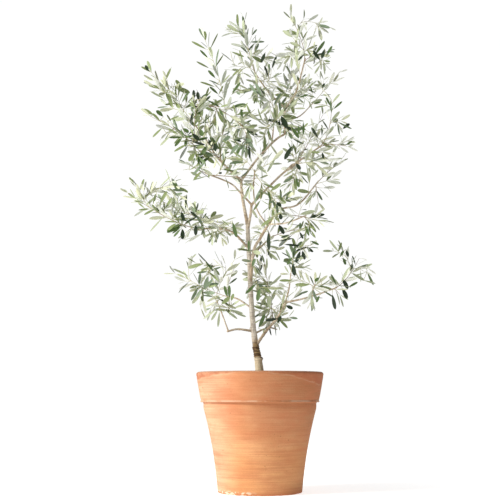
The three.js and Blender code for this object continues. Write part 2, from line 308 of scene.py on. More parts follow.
class Sheet:
    """A node tree that is filled in a few short calls, each with numbers or sockets."""

    def __init__(self, tree: bpy.types.NodeTree) -> None:
        """Keep the tree."""
        self.tree = tree

    def wire(self, node: bpy.types.Node, inputs: dict) -> None:
        """Give some of a node's inputs what they read.

        Args:
            node: the node.
            inputs: values or output sockets by input name or number.
        """
        for key, value in inputs.items():
            if isinstance(value, bpy.types.NodeSocket):
                self.tree.links.new(value, node.inputs[key])
            else:
                node.inputs[key].default_value = value

    def put(self, kind: str, inputs: dict | None = None, **settings: object) -> bpy.types.Node:
        """Add a node, set it and wire it.

        Args:
            kind: the node's type name.
            inputs: values or output sockets by input name or number.
            **settings: the node's own properties.

        Returns:
            The node.
        """
        node = self.tree.nodes.new(kind)
        for key, value in settings.items():
            setattr(node, key, value)
        self.wire(node, inputs or {})
        return node

    def place(self) -> bpy.types.NodeSocket:
        """Read where a point lies in its own object."""
        return self.put("ShaderNodeTexCoord").outputs["Object"]

    def maths(self, operation: str, first: object, second: object) -> bpy.types.NodeSocket:
        """Work out one sum of two numbers."""
        return self.put("ShaderNodeMath", {0: first, 1: second}, operation=operation).outputs[0]

    def times(self, first: object, second: object) -> bpy.types.NodeSocket:
        """Multiply two numbers."""
        return self.maths("MULTIPLY", first, second)

    def ramp(self, value: object, span: Span | tuple[object, object]) -> bpy.types.NodeSocket:
        """Ease a value from 0 at the span's start to 1 at its end."""
        inputs = {"Value": value, "From Min": span[0], "From Max": span[1]}
        return self.put("ShaderNodeMapRange", inputs, interpolation_type="SMOOTHSTEP").outputs[0]

    def band(self, value: object, rise: Span, fall: Span) -> bpy.types.NodeSocket:
        """Ease a value up along one span and down again along another."""
        return self.times(self.ramp(value, rise), self.ramp(value, fall))

    def blend(self, share: object, first: object, second: object) -> bpy.types.NodeSocket:
        """Mix two colours.

        Args:
            share: how much of the second shows.
            first: the first colour.
            second: the second colour.

        Returns:
            The mixed colour's socket.
        """
        colours = {
            key: colour if isinstance(colour, bpy.types.NodeSocket) else (*colour, 1.0)
            for key, colour in ((6, first), (7, second))
        }
        return self.put("ShaderNodeMix", {0: share, **colours}, data_type="RGBA").outputs[2]

    def washes(self, colour: object, *layers: tuple[object, object, object]) -> bpy.types.NodeSocket:
        """Lay washes over a colour, the first one lowest.

        Args:
            colour: the ground.
            *layers: for each wash its mask, how much of it shows there, and its colour.

        Returns:
            The colour's socket.
        """
        for mask, share, wash in layers:
            colour = self.blend(self.times(mask, share), colour, wash)
        return colour

    def bump(self, relief: object, strength: float, depth: float) -> bpy.types.NodeSocket:
        """Turn a relief into a normal, with its strength and its depth in metres."""
        inputs = {"Height": relief, "Strength": strength, "Distance": depth}
        return self.put("ShaderNodeBump", inputs).outputs[0]


@dataclass(frozen=True)
class Clouds:
    """One use of the mottle: noise cells for each metre, how much finer it is along each axis, its
    octaves, and the span of noise values that it eases over."""

    scale: float
    stretch: Point = (1, 1, 1)
    detail: float = 4.0
    low: float = 0.35
    high: float = 0.65


class Mottle:
    """The shader group of soft cloudy noise that every natural finish uses."""

    NAME = "Mottle"

    @classmethod
    def tree(cls) -> bpy.types.NodeTree:
        """Build the group once.

        Returns:
            The group's tree: a stretch along each axis, a scale, a detail and a span give a mask.
        """
        known = bpy.data.node_groups.get(cls.NAME)
        if known:
            return known
        tree = bpy.data.node_groups.new(cls.NAME, "ShaderNodeTree")
        face = tree.interface
        face.new_socket("Stretch", in_out="INPUT", socket_type="NodeSocketVector")
        for name in ("Scale", "Detail", "Low", "High"):
            face.new_socket(name, in_out="INPUT", socket_type="NodeSocketFloat")
        face.new_socket("Mask", in_out="OUTPUT", socket_type="NodeSocketFloat")
        sheet = Sheet(tree)
        given = sheet.put("NodeGroupInput").outputs
        stretched = sheet.put("ShaderNodeVectorMath", {0: sheet.place(), 1: given["Stretch"]},
                              operation="MULTIPLY").outputs[0]
        noisy = sheet.put("ShaderNodeTexNoise", {
            "Vector": stretched, "Scale": given["Scale"], "Detail": given["Detail"]}).outputs["Fac"]
        sheet.put("NodeGroupOutput", {"Mask": sheet.ramp(noisy, (given["Low"], given["High"]))})
        return tree

    @classmethod
    def mask(cls, sheet: Sheet, clouds: Clouds) -> bpy.types.NodeSocket:
        """Place the group in a material.

        Args:
            sheet: the material's sheet.
            clouds: the group's values there.

        Returns:
            The mask's socket.
        """
        values = {
            "Stretch": clouds.stretch, "Scale": clouds.scale, "Detail": clouds.detail,
            "Low": clouds.low, "High": clouds.high,
        }
        return sheet.put("ShaderNodeGroup", values, node_tree=cls.tree()).outputs["Mask"]


def new_material(name: str) -> tuple[bpy.types.Material, Sheet, bpy.types.Node]:
    """Start a material with one Principled shader.

    Args:
        name: the material's name.

    Returns:
        The material, its sheet and the shader node.
    """
    material = bpy.data.materials.new(name)
    material.use_nodes = True
    return material, Sheet(material.node_tree), material.node_tree.nodes["Principled BSDF"]


def plain_material(name: str, colour: Colour, roughness: float) -> bpy.types.Material:
    """Make a material of one plain colour.

    Args:
        name: the material's name.
        colour: its colour.
        roughness: its roughness.

    Returns:
        The material.
    """
    material, sheet, shader = new_material(name)
    sheet.wire(shader, {"Base Color": (*colour, 1.0), "Roughness": roughness})
    return material


# ------------------------------------------------------------------------------ finishes


@dataclass(frozen=True)
class TerracottaFinish:
    """Fired clay: pale and red clouds, faint throwing lines, a stained lip and a scuffed foot, with
    a painted highlight on the left side and along the bead, and painted shade on the right side,
    under the band and at the foot.

    A span starts where its mask is empty and ends where it is full.
    """

    pale: Colour = srgb(236, 182, 134)
    clay: Colour = srgb(214, 146, 100)
    red: Colour = srgb(200, 122, 82)
    stain: Colour = srgb(172, 98, 64)
    # darker clay for the grain and pits, and the colour of the painted shade
    shade: Colour = srgb(138, 88, 52)
    # pale: real whitening on the lip, stain edge and chips, and the painted highlights on the left side
    # and the bead
    lime_and_highlight: Colour = srgb(236, 214, 188)
    warm: Colour = srgb(236, 178, 114)
    grain: Clouds = Clouds(320, (1, 1, 1), 2, 0.3, 0.7)
    lines: Clouds = Clouds(9, (0.7, 0.7, 34), 6, 0.34, 0.68)
    cloud: Clouds = Clouds(8, (1, 1, 1.8), 5, 0.36, 0.66)
    blush: Clouds = Clouds(13, (0.8, 0.8, 2.6), 5, 0.44, 0.68)
    streak: Clouds = Clouds(5, (0.8, 0.8, 13), 5, 0.46, 0.7)
    wander: Clouds = Clouds(22, detail=3)
    patches: Clouds = Clouds(40, (1, 1, 1.6), 4, 0.3, 0.62)
    gaps: Clouds = Clouds(26, low=0.34, high=0.56)
    pits: Clouds = Clouds(95, (1, 1, 1), 2, 0.7, 0.76)
    chips: Clouds = Clouds(85, (1, 1, 1.8), 4, 0.5, 0.58)
    lower_wall: Span = (0.24, 0.06)
    upper_wall: Span = (0.21, 0.28)
    # painted highlight: the left side, paled where the key light falls, more of it low down
    highlight_side: Span = (-0.05, -0.17)
    highlight_shares: Span = (0.32, 0.34)
    # painted shade: the right side of the pot, away from the light
    shaded_side: Span = (0.02, 0.19)
    # painted shadow under the band: its span across and its span of height
    band_shadow_side: Span = (-0.09, 0.0)
    band_shadow_height: Span = (0.12, 0.26)
    stain_top: float = 0.3685
    stain_fall: float = 0.82
    stain_middle: float = -0.028
    stain_wander: float = 0.004
    stain_shares: Span = (0.32, 0.45)
    stained: Span = (-0.0005, 0.006)
    edge_rise: Span = (-0.0035, -0.0005)
    edge_fall: Span = (0.002, -0.0002)
    crest: Span = (0.3655, 0.3695)
    # painted highlight along the bead at the band's foot
    bead_highlight_rise: Span = (0.2775, 0.2785)
    bead_highlight_fall: Span = (0.2835, 0.2815)
    # painted shade just under the band, where it overhangs the wall
    under_band_shade_rise: Span = (0.268, 0.2745)
    under_band_shade_fall: Span = (0.2785, 0.277)
    foot: Span = (0.014, 0.004)
    chipped: Span = (0.014, 0.009)
    chipped_side: Span = (0.0, -0.05)
    # a darker patch low on the right side of the wall
    low_right_side: Span = (0.04, 0.125)
    low_right_height: Span = (0.055, 0.012)

    def build(self) -> bpy.types.Material:
        """Make the material.

        Returns:
            The clay material.
        """
        material, sheet, shader = new_material("terracotta")
        parts = sheet.put("ShaderNodeSeparateXYZ", {0: sheet.place()})
        across, height = parts.outputs["X"], parts.outputs["Z"]
        grain, lines = Mottle.mask(sheet, self.grain), Mottle.mask(sheet, self.lines)
        colour = self.body(sheet, across, height, lines)
        colour = sheet.washes(colour, (grain, 0.1, self.shade))
        colour = self.lip(sheet, across, height, colour)
        relief = sheet.maths("ADD", sheet.times(grain, 0.35), sheet.times(lines, 0.7))
        sheet.wire(shader, {
            "Base Color": self.joints(sheet, across, height, colour),
            "Roughness": sheet.maths("ADD", sheet.times(grain, 0.12), 0.74),
            "Specular IOR Level": 0.3,
            "Normal": sheet.bump(relief, 0.3, 0.001),
        })
        return material

    def body(self, sheet: Sheet, across: object, height: object, lines: object) -> bpy.types.NodeSocket:
        """Lay the clay's colour: clouds and throwing lines, redder on top, warmer below, with a painted
        highlight on the left side, painted shade on the right side and a painted shadow under the band.

        Args:
            sheet: the node sheet.
            across: metres to the right.
            height: metres above the foot.
            lines: the mask of the throwing lines.

        Returns:
            The colour.
        """
        low = sheet.ramp(height, self.lower_wall)
        all_over, more_below = self.highlight_shares
        painted_highlight = sheet.times(sheet.ramp(across, self.highlight_side),
                            sheet.maths("ADD", sheet.times(low, more_below), all_over))
        # painted shadow on the upper wall under the band, from the middle to the right
        band_shadow = sheet.times(sheet.ramp(across, self.band_shadow_side), sheet.ramp(height, self.band_shadow_height))
        return sheet.washes(
            self.clay,
            (Mottle.mask(sheet, self.cloud), 0.55, self.pale),
            (low, 0.42, self.warm),
            (sheet.ramp(height, self.upper_wall), 0.16, self.red),
            # painted highlight: the left side paled, most of all low down
            (painted_highlight, 1.0, self.lime_and_highlight),
            # painted shade: the right side darkened
            (sheet.ramp(across, self.shaded_side), 0.45, self.shade),
            (band_shadow, 0.3, self.shade),
            (Mottle.mask(sheet, self.blush), 0.38, self.red),
            (Mottle.mask(sheet, self.streak), 0.36, self.red),
            (lines, 0.26, self.stain),
        )

    def lip(self, sheet: Sheet, across: object, height: object, colour: object) -> bpy.types.NodeSocket:
        """Stain the top of the band down to an edge like a low arch, and whiten the lip's crest in
        patches.

        Args:
            sheet: the node sheet.
            across: metres to the right.
            height: metres above the foot.
            colour: the colour so far.

        Returns:
            The colour.
        """
        shifted = sheet.maths("SUBTRACT", across, self.stain_middle)
        fall = sheet.times(sheet.maths("POWER", shifted, 2.0), self.stain_fall)
        wander = sheet.times(Mottle.mask(sheet, self.wander), self.stain_wander)
        above = sheet.maths("ADD", sheet.maths("SUBTRACT", height, self.stain_top),
                            sheet.maths("ADD", fall, wander))
        patchy = Mottle.mask(sheet, self.patches)
        all_over, more_in_patches = self.stain_shares
        deep = sheet.maths("ADD", sheet.times(patchy, more_in_patches), all_over)
        edge = sheet.band(above, self.edge_rise, self.edge_fall)
        return sheet.washes(
            colour,
            (sheet.ramp(above, self.stained), deep, self.stain),
            (sheet.times(edge, patchy), 0.12, self.lime_and_highlight),
            (sheet.times(sheet.ramp(height, self.crest), patchy), 0.4, self.lime_and_highlight),
        )

    def joints(self, sheet: Sheet, across: object, height: object, colour: object) -> bpy.types.NodeSocket:
        """Paint a broken highlight along the bead and shade just under the band, pit the clay, scuff and
        redden the pot's foot with painted shade over it, and darken the wall low on the right.

        Args:
            sheet: the node sheet.
            across: metres to the right.
            height: metres above the foot.
            colour: the colour so far.

        Returns:
            The colour.
        """
        # bead: a painted highlight along the bead, broken by the gaps
        bead = sheet.band(height, self.bead_highlight_rise, self.bead_highlight_fall)
        # under: painted shade just below the band
        under = sheet.band(height, self.under_band_shade_rise, self.under_band_shade_fall)
        foot = sheet.ramp(height, self.foot)
        # darker low on the right side of the wall
        low_right_dark = sheet.times(sheet.ramp(across, self.low_right_side), sheet.ramp(height, self.low_right_height))
        chipped = sheet.times(sheet.ramp(height, self.chipped), Mottle.mask(sheet, self.chips))
        return sheet.washes(
            colour,
            (sheet.times(bead, Mottle.mask(sheet, self.gaps)), 0.36, self.lime_and_highlight),
            (under, 0.25, self.shade),
            (Mottle.mask(sheet, self.pits), 0.55, self.shade),
            # the foot reddened, then darkened by painted shade near the floor
            (foot, 0.5, self.red),
            (foot, 0.22, self.shade),
            (low_right_dark, 0.42, self.shade),
            (sheet.times(chipped, sheet.ramp(across, self.chipped_side)), 0.9, self.lime_and_highlight),
        )


@dataclass(frozen=True)
class SoilFinish:
    """Damp crumbly compost."""

    name: str = "soil"
    dark: Colour = srgb(44, 32, 24)
    light: Colour = srgb(96, 74, 56)
    share: float = 1.0
    clumps: Clouds = Clouds(70, detail=6, low=0.4, high=0.7)
    crumbs: Clouds = Clouds(260, detail=5)

    def build(self) -> bpy.types.Material:
        """Make the material.

        Returns:
            The soil material.
        """
        material, sheet, shader = new_material(self.name)
        clumps = Mottle.mask(sheet, self.clumps)
        sheet.wire(shader, {
            "Base Color": sheet.washes(self.dark, (clumps, self.share, self.light)),
            "Roughness": 0.95,
            "Normal": sheet.bump(Mottle.mask(sheet, self.crumbs), 0.8, 0.002),
        })
        return material


@dataclass(frozen=True)
class BarkFinish:
    """Smooth grey-beige bark, with a dark ringed collar low on the trunk."""

    name: str
    pale: Colour = srgb(234, 225, 212)
    beige: Colour = srgb(204, 193, 176)
    dark: Colour = srgb(84, 60, 30)
    ring: Colour = srgb(182, 152, 106)
    young: Colour = srgb(228, 206, 164)
    flecks: Clouds = Clouds(120, (1, 1, 0.35), 5, 0.4, 0.66)
    patches: Clouds = Clouds(34, (1, 1, 0.6), 4, 0.4, 0.62)
    rings: Clouds = Clouds(60, (0.15, 0.15, 4), 3, 0.5, 0.66)
    scars: Clouds = Clouds(46, (0.3, 0.3, 3), 3, 0.46, 0.58)
    collar_foot: Span = (0.416, 0.421)
    collar_top: Span = (0.496, 0.45)
    young_wood: Span = (0.42, 0.414)
    raggedness: float = 0.007
    has_collar: bool = True

    def build(self) -> bpy.types.Material:
        """Make the material.

        Returns:
            The bark material.
        """
        material, sheet, shader = new_material(self.name)
        flecks, patches, rings = (Mottle.mask(sheet, c) for c in (self.flecks, self.patches, self.rings))
        colour = sheet.blend(patches, self.beige, self.pale)
        colour = sheet.washes(colour, (flecks, 0.34, self.dark))
        if self.has_collar:
            height = sheet.put("ShaderNodeSeparateXYZ", {0: sheet.place()}).outputs["Z"]
            ragged = sheet.maths("ADD", height, sheet.times(patches, self.raggedness))
            wood = sheet.washes(self.dark, (Mottle.mask(sheet, self.scars), 0.6, self.ring))
            colour = sheet.washes(
                colour,
                (sheet.ramp(ragged, self.young_wood), 0.7, self.young),
                (sheet.band(ragged, self.collar_foot, self.collar_top), 1.0, wood),
            )
        sheet.wire(shader, {
            "Base Color": sheet.washes(colour, (rings, 0.34, self.dark)),
            "Roughness": 0.8,
            "Normal": sheet.bump(sheet.maths("ADD", sheet.times(flecks, 0.5), rings), 0.5, 0.0008),
        })
        return material


class Tone(Enum):
    """The leaf colours that are dealt out by spray: the upper face, then the underside."""

    SAGE = (srgb(174, 183, 150), srgb(217, 220, 208))
    OLIVE = (srgb(126, 140, 90), srgb(198, 202, 172))
    GREY = (srgb(120, 138, 110), srgb(198, 204, 188))
    DEEP = (srgb(30, 48, 22), srgb(90, 110, 76))
    GREEN = (srgb(80, 104, 54), srgb(146, 160, 114))
    STRAW = (srgb(196, 200, 176), srgb(218, 220, 208))

    @property
    def slot(self) -> int:
        """The slot of the upper face; the underside's is the next one."""
        return 2 * list(Tone).index(self)


class Stem(Enum):
    """The colours of the twigs, which are dealt out by shoot."""

    BROWN = srgb(150, 124, 98)
    GREEN = srgb(184, 180, 138)

    @property
    def slot(self) -> int:
        """The slot of this colour."""
        return list(Stem).index(self)


@dataclass(frozen=True)
class LeafFinish:
    """Leathery leaves, with a soft shine above and a matt felt below."""

    above: float = 0.48
    below: float = 0.72

    def build(self) -> list[bpy.types.Material]:
        """Make the leaf materials.

        Returns:
            Two materials for each tone, in the order of the slots.
        """
        sides = (("top", self.above), ("under", self.below))
        return [
            plain_material(f"leaf_{tone.name.lower()}_{side}", colour, rough)
            for tone in Tone for (side, rough), colour in zip(sides, tone.value)
        ]


@dataclass(frozen=True)
class TwigFinish:
    """Thin young wood in one plain colour for each age."""

    roughness: float = 0.7

    def build(self) -> list[bpy.types.Material]:
        """Make one material for each stem colour."""
        return [plain_material(f"twig_{stem.name.lower()}", stem.value, self.roughness) for stem in Stem]


# ------------------------------------------------------------------------------ pot and soil


@dataclass
class Pot:
    """A thrown terracotta pot: a flared wall under a deep rim band."""

    height: float = 370.0
    base_radius: float = 131.0
    foot_round: float = 3.0
    wall_slope: float = 0.079
    wall_flare: float = 3.85e-4
    wall: float = 16.0
    floor: float = 20.0
    floor_round: float = 4.0
    band_height: float = 94.0
    band_foot: float = 185.5
    rim_radius: float = 200.0
    lip_width: float = 24.0
    lip_round: float = 8.0
    neck: float = 177.0
    neck_round: float = 4.0
    bead: float = 1.6
    bead_round: float = 2.6
    bead_height: float = 7.0
    drain_count: int = 3
    drain_radius: float = 8.0
    drain_circle: float = 66.0
    inside_heights: Point = (210, 145, 80)
    segments: int = 180
    wall_steps: int = 56
    band_steps: int = 26
    throat_steps: int = 10
    throwing: float = 0.3
    swell: float = 0.35
    knock_depth: float = 2.2
    knock_lift: float = 1.4
    knock_zone: Span = (7.0, 0.0)
    knock_noise: Span = (0.16, 0.42)
    knock_side: Span = (20, -60)

    def wall_radius(self, height: float) -> float:
        """Find the outer radius below the band at a height above the foot."""
        return min(self.base_radius + self.wall_slope * height + self.wall_flare * height**2, self.neck)

    def arc(self, centre: tuple[float, float], radius: float, turn: Span,
            steps: int = 6) -> list[tuple[float, float]]:
        """Lay points round an arc of the profile.

        Args:
            centre: radius and height of the arc's middle.
            radius: the arc's own radius.
            turn: its first and last angle, in degrees from outwards, anticlockwise.
            steps: how many stretches it has.

        Returns:
            The profile points.
        """
        angles = [math.radians(angle) for angle in spread(*turn, steps)]
        return [(centre[0] + radius * math.cos(a), centre[1] + radius * math.sin(a)) for a in angles]

    def profile(self) -> list[tuple[float, float]]:
        """Lay the whole outline, from the middle of the underside round to the middle of the floor.

        Returns:
            Points of radius and height, in mm.
        """
        foot, top = self.height - self.band_height, self.height - self.lip_round
        low, high = 2 * self.foot_round, foot - 2 * self.foot_round
        corner = (self.base_radius - self.foot_round, self.foot_round)
        hollow = (self.neck + self.neck_round, foot - self.neck_round)
        bead = (self.band_foot - 2 + self.bead * 0.4, foot + self.bead_round)
        outline = [(self.drain_circle * share, 0.0) for share in (0.0, 0.5, 1.0, 1.5)]
        outline += self.arc(corner, self.foot_round, (-90, 0), 5)
        outline += [(self.wall_radius(h), h) for h in spread(low, high, self.wall_steps)]
        outline += self.arc(hollow, self.neck_round, (180, 90), 4)
        outline += self.arc(bead, self.bead_round, (-90, 60), 8)
        for share in spread(0, 1, self.band_steps):
            height = foot + self.bead_height + (top - foot - self.bead_height) * share
            radius = self.band_foot + (self.rim_radius - self.band_foot) * (height - foot) / (top - foot)
            outline.append((radius - self.bead * math.exp(-9 * share), height))
        outline += self.arc((self.rim_radius - self.lip_round, top), self.lip_round, (0, 90))[1:]
        inner = self.rim_radius - self.lip_width
        outline += self.arc((inner + self.lip_round, top), self.lip_round, (90, 180))
        throat = self.wall_radius(foot) - self.wall
        for height in spread(top, foot, self.throat_steps)[1:]:
            outline.append((throat + (inner - throat) * (height - foot) / self.band_height, height))
        inside = (*self.inside_heights, self.floor + self.floor_round)
        outline += [(self.wall_radius(h) - self.wall, h) for h in inside]
        outline.append((self.wall_radius(self.floor) - self.wall - self.floor_round, self.floor))
        return outline + [(60, self.floor), (0, self.floor)]

    def surface(self, radius: float, height: float, angle: float) -> Vector:
        """Place one point of the turned wall, with the potter's ripples and the knocks at the foot.

        Args:
            radius: the profile's radius.
            height: the profile's height.
            angle: the angle round the pot.

        Returns:
            The point, in mm.
        """
        out = turned(1, angle, 0)
        place = out * radius
        if radius > self.base_radius - 2 * self.foot_round:
            rings = ripple(Vector((place.x * 0.012, place.y * 0.012, height * 0.16)), 1.0)
            swell = ripple(Vector((place.x, place.y, height * 1.6)), 0.012, 5.0)
            place += out * (self.throwing * rings + self.swell * swell)
        knocks = smooth(*self.knock_noise, ripple(out * radius, 0.06, 9.0))
        knocks *= smooth(*self.knock_zone, height)
        knocks *= smooth(self.base_radius - 9, self.base_radius - 1, radius)
        knocks *= 0.3 + 0.7 * smooth(*self.knock_side, place.x)
        dent = Vector((0, 0, self.knock_lift)) - out * self.knock_depth
        return Vector((place.x, place.y, height)) + dent * knocks

    def build(self) -> None:
        """Make and dress the pot, with its drain holes cut."""
        foot, *outline, floor = self.profile()
        angles = [FULL_TURN * k / self.segments for k in range(self.segments)]
        maker = MeshMaker()
        rings = [[self.surface(radius, height, angle) for angle in angles] for radius, height in outline]
        maker.stack(turned(0, 0, foot[1]), rings, turned(0, 0, floor[1]))
        piece = maker.build("terracotta_pot", [TerracottaFinish().build()], 50)
        self.drill(piece)
        settle(piece, ["pot"])

    def drill(self, piece: bpy.types.Object) -> None:
        """Cut the drain holes.

        Args:
            piece: the pot, whose mesh is changed.
        """
        maker = MeshMaker()
        for i in range(self.drain_count):
            angle = FULL_TURN * i / self.drain_count
            ends = [turned(self.drain_circle, angle, share * self.floor) for share in (-1, 2)]
            sleeve(maker, Route(ends), lambda t, a: self.drain_radius, 24, self.floor)
        cutter = maker.build("drain_cutter", [], 50)
        cut = piece.modifiers.new("drain", "BOOLEAN")
        cut.object = cutter
        cut.solver = "EXACT"
        evaluated = piece.evaluated_get(bpy.context.evaluated_depsgraph_get())
        finished = bpy.data.meshes.new_from_object(evaluated)
        piece.modifiers.clear()
        piece.data = finished
        bpy.data.objects.remove(cutter)


@dataclass
class Soil:
    """Compost that fills the pot, with loose crumbs on top."""

    radius: float = 170.0
    foot_radius: float = 116.0
    floor: float = 20.5
    grid: int = 40
    spokes: int = 96
    mound: float = 3.5
    mound_zone: Span = (60, 12)
    heave: float = 2.6
    pebble: float = 1.2
    settled: float = 1.5
    crumbs: int = 620
    crumb_edge: float = 6.0
    trunk_room: float = 24.0
    smallest: Point = (0.8, 0.8, 0.6)
    largest: Point = (3.6, 2.4, 1.5)

    def top(self, x: float, y: float) -> float:
        """Find the height of the uneven surface.

        Args:
            x: mm to the right of the pot's axis.
            y: mm behind it.

        Returns:
            The height, in mm.
        """
        place = Vector((x, y, 0))
        mound = self.mound * smooth(*self.mound_zone, place.length)
        rough = self.heave * ripple(place, 0.03) + self.pebble * ripple(place, 0.13, 3.0)
        return SOIL_TOP + mound + rough - self.settled

    def build(self) -> None:
        """Make and dress the soil and its crumbs."""
        angles = [FULL_TURN * k / self.spokes for k in range(self.spokes)]
        rings = [[turned(self.foot_radius, angle, self.floor) for angle in angles]]
        for ring in range(self.grid, 0, -1):
            edge = [turned(self.radius * ring / self.grid, angle, 0) for angle in angles]
            rings.append([Vector((place.x, place.y, self.top(place.x, place.y))) for place in edge])
        maker = MeshMaker()
        maker.stack(turned(0, 0, self.floor), rings, turned(0, 0, self.top(0, 0)))
        settle(maker.build("potting_soil", [SoilFinish().build()], 60), ["soil"])
        self.scatter()

    def scatter(self) -> None:
        """Strew crumbs of bark and clods over the surface."""
        rng = random.Random(SEED)
        maker = MeshMaker()
        cube = [Vector((x, y, z)) for x in (-1, 1) for y in (-1, 1) for z in (-1, 1)]
        sides = [(0, 1, 3, 2), (4, 6, 7, 5), (0, 4, 5, 1), (2, 3, 7, 6), (0, 2, 6, 4), (1, 5, 7, 3)]
        for _ in range(self.crumbs):
            reach = (self.radius - self.crumb_edge) * math.sqrt(rng.random())
            centre = turned(reach, rng.uniform(0, FULL_TURN), 0)
            if reach < self.trunk_room:
                continue
            size = Vector([rng.uniform(*limits) for limits in zip(self.smallest, self.largest)])
            turn = Matrix.Rotation(rng.uniform(0, math.pi), 3, "Z")
            turn @= Matrix.Rotation(rng.gauss(0, 0.4), 3, "X")
            centre.z = self.top(centre.x, centre.y) + size.z * 0.5
            corners = [centre + turn @ (corner * size) * rng.uniform(0.7, 1.1) for corner in cube]
            maker.add(corners, sides, rng.choice((0, 0, 1)))
        clod = SoilFinish("crumb_dark", share=0.5)
        chip = SoilFinish("crumb_bark", srgb(92, 66, 44), srgb(150, 120, 88))
        settle(maker.build("soil_crumbs", [clod.build(), chip.build()], 20))


# ------------------------------------------------------------------------------ wood


@dataclass(frozen=True)
class Limb:
    """One tapering limb: where it springs from its carrier, its points, its radii, and the share
    along it from which it bears side twigs."""

    name: str
    carrier: str
    place: float
    points: tuple[Point, ...]
    foot: float
    tip: float
    leafy: float = 1.0


TRUNK_POINTS: tuple[Point, ...] = (
    (0, 0, SOIL_TOP - 8), (-1, 0, 372), (-6, 0, 412), (-17, 0, 480),
    (-26, 0, 575), (-31, 0, 675), (-39, 0, 842),
)
TRUNK_RADII = (21.0, 13.3, 12.0, 9.0, 8.1, 7.5, 6.3)

LIMBS = (
    # the two leaders above the fork, and what the left one carries
    Limb("left_leader", "trunk", 1, ((-54, 0, 922), (-60, 0, 985)), 5.2, 4.4),
    Limb("upper_left_bough", "left_leader", 1, ((-97, -40, 1012), (-136, -75, 1045)), 4, 3, 0.7),
    Limb("far_left_bough", "upper_left_bough", 1, ((-175, -72, 1108), (-218, -62, 1168)), 2.6, 1.8, 0.4),
    Limb("tall_left_stem", "upper_left_bough", 0.85, ((-125, -30, 1098), (-113, 10, 1180)), 2.4, 1.8),
    Limb("rear_left_bough", "upper_left_bough", 0.5, ((-130, 30, 1060), (-155, 90, 1105)), 3, 2.2, 0.5),
    Limb("central_bough", "left_leader", 1,
         ((-6, 8, 1060), (50, 15, 1122), (84, 20, 1146)), 3.8, 3.3, 0.78),
    Limb("crown_stem", "central_bough", 1, ((82, 21, 1190), (84, 25, 1234)), 3.2, 3, 0.7),
    Limb("top_left_bough", "crown_stem", 1, ((30, 36, 1293), (-11, 45, 1356)), 2.6, 2, 0.35),
    Limb("top_right_bough", "crown_stem", 1, ((120, 2, 1282), (150, -20, 1390)), 2.8, 2, 0.35),
    Limb("crown_rear_bough", "crown_stem", 0.9, ((100, 68, 1262), (114, 110, 1308)), 2.4, 1.8, 0.4),
    Limb("second_stem", "central_bough", 0.6, ((45, -18, 1156), (47, -40, 1214)), 2.4, 1.8, 0.35),
    Limb("sprig_bough", "crown_stem", 0.5, ((134, 48, 1214), (180, 70, 1265)), 2.2, 1.6, 0.8),
    # the right leader
    Limb("right_leader", "trunk", 0.985, ((-30, -10, 868), (-26, -20, 902)), 4.6, 4),
    Limb("cross_bough", "right_leader", 1,
         ((-62, -38, 938), (-96, -55, 966), (-172, -95, 989)), 3, 2.2, 0.85),
    Limb("east_bough", "right_leader", 1,
         ((65, -40, 992), (128, -50, 1040), (197, -60, 1086)), 3.6, 2.4, 0.75),
    Limb("east_rear_bough", "east_bough", 0.45, ((112, 40, 1042), (148, 105, 1106)), 2.8, 2, 0.4),
    Limb("mid_right_bough", "east_bough", 0.45, ((104, -66, 1024), (130, -90, 1022)), 2.2, 1.7),
    # boughs of the trunk, from the top down
    Limb("left_mid_bough", "trunk", 0.925,
         ((-86, -20, 812), (-140, -40, 821), (-186, -60, 817)), 3.6, 2.6, 0.4),
    Limb("left_rear_bough", "left_mid_bough", 0.45, ((-145, 40, 842), (-176, 95, 866)), 2.6, 2),
    Limb("right_stem", "trunk", 0.8, ((-19, -20, 752), (2, -32, 792), (29, -50, 836)), 5, 4),
    Limb("right_stem_upper", "right_stem", 1,
         ((60, -46, 880), (125, -35, 902), (190, -20, 980)), 3.2, 2.2, 0.75),
    Limb("right_stem_lower", "right_stem", 0.98, ((82, -90, 831), (142, -140, 846)), 2.6, 2, 0.7),
    Limb("inner_riser", "right_stem", 0.95,
         ((-9, -75, 876), (-20, -105, 932), (-16, -130, 992)), 2.4, 1.8, 0.8),
    Limb("rear_low_bough", "trunk", 0.875, ((-6, 90, 770), (40, 165, 826)), 3.4, 2.4, 0.85),
    Limb("low_rear_left", "trunk", 0.66, ((-70, 60, 606), (-110, 110, 620)), 2.8, 2),
    Limb("low_left_bough", "trunk", 0.535, ((-70, -10, 504), (-103, -20, 496)), 3.6, 2.8),
    Limb("low_left_riser", "low_left_bough", 0.94, ((-121, -22, 556), (-136, -25, 592)), 2.2, 1.7),
    Limb("low_right_bough", "trunk", 0.44,
         ((22, -15, 500), (61, -30, 546), (80, -40, 586)), 4.6, 3.6, 0.45),
    Limb("low_right_reach", "low_right_bough", 1,
         ((132, -50, 596), (185, -60, 611), (240, -70, 630)), 3, 2, 0.9),
    Limb("reach_riser", "low_right_reach", 0.5, ((166, -62, 622), (172, -70, 642)), 2.2, 1.8),
    Limb("low_right_riser", "low_right_bough", 0.97, ((91, -50, 626), (97, -60, 676)), 2.4, 1.8),
    Limb("low_back_bough", "trunk", 0.52, ((26, 30, 511), (56, 60, 508)), 2.8, 2),
)


@dataclass(frozen=True)
class Knot:
    """A stub or swelling on the trunk: its height, the angle it looks at, its reach and its width."""

    height: float
    side: float
    reach: float
    width: float

    def bump(self, height: float, angle: float) -> float:
        """Find how far it lifts the bark.

        Args:
            height: the bark's height.
            angle: the bark's angle round the trunk.

        Returns:
            The lift, in mm.
        """
        along = ((height - self.height) / self.width) ** 2
        round_about = 1.6 * (2.2 * math.sin((angle - self.side) / 2)) ** 2
        return self.reach * math.exp(-along - round_about)


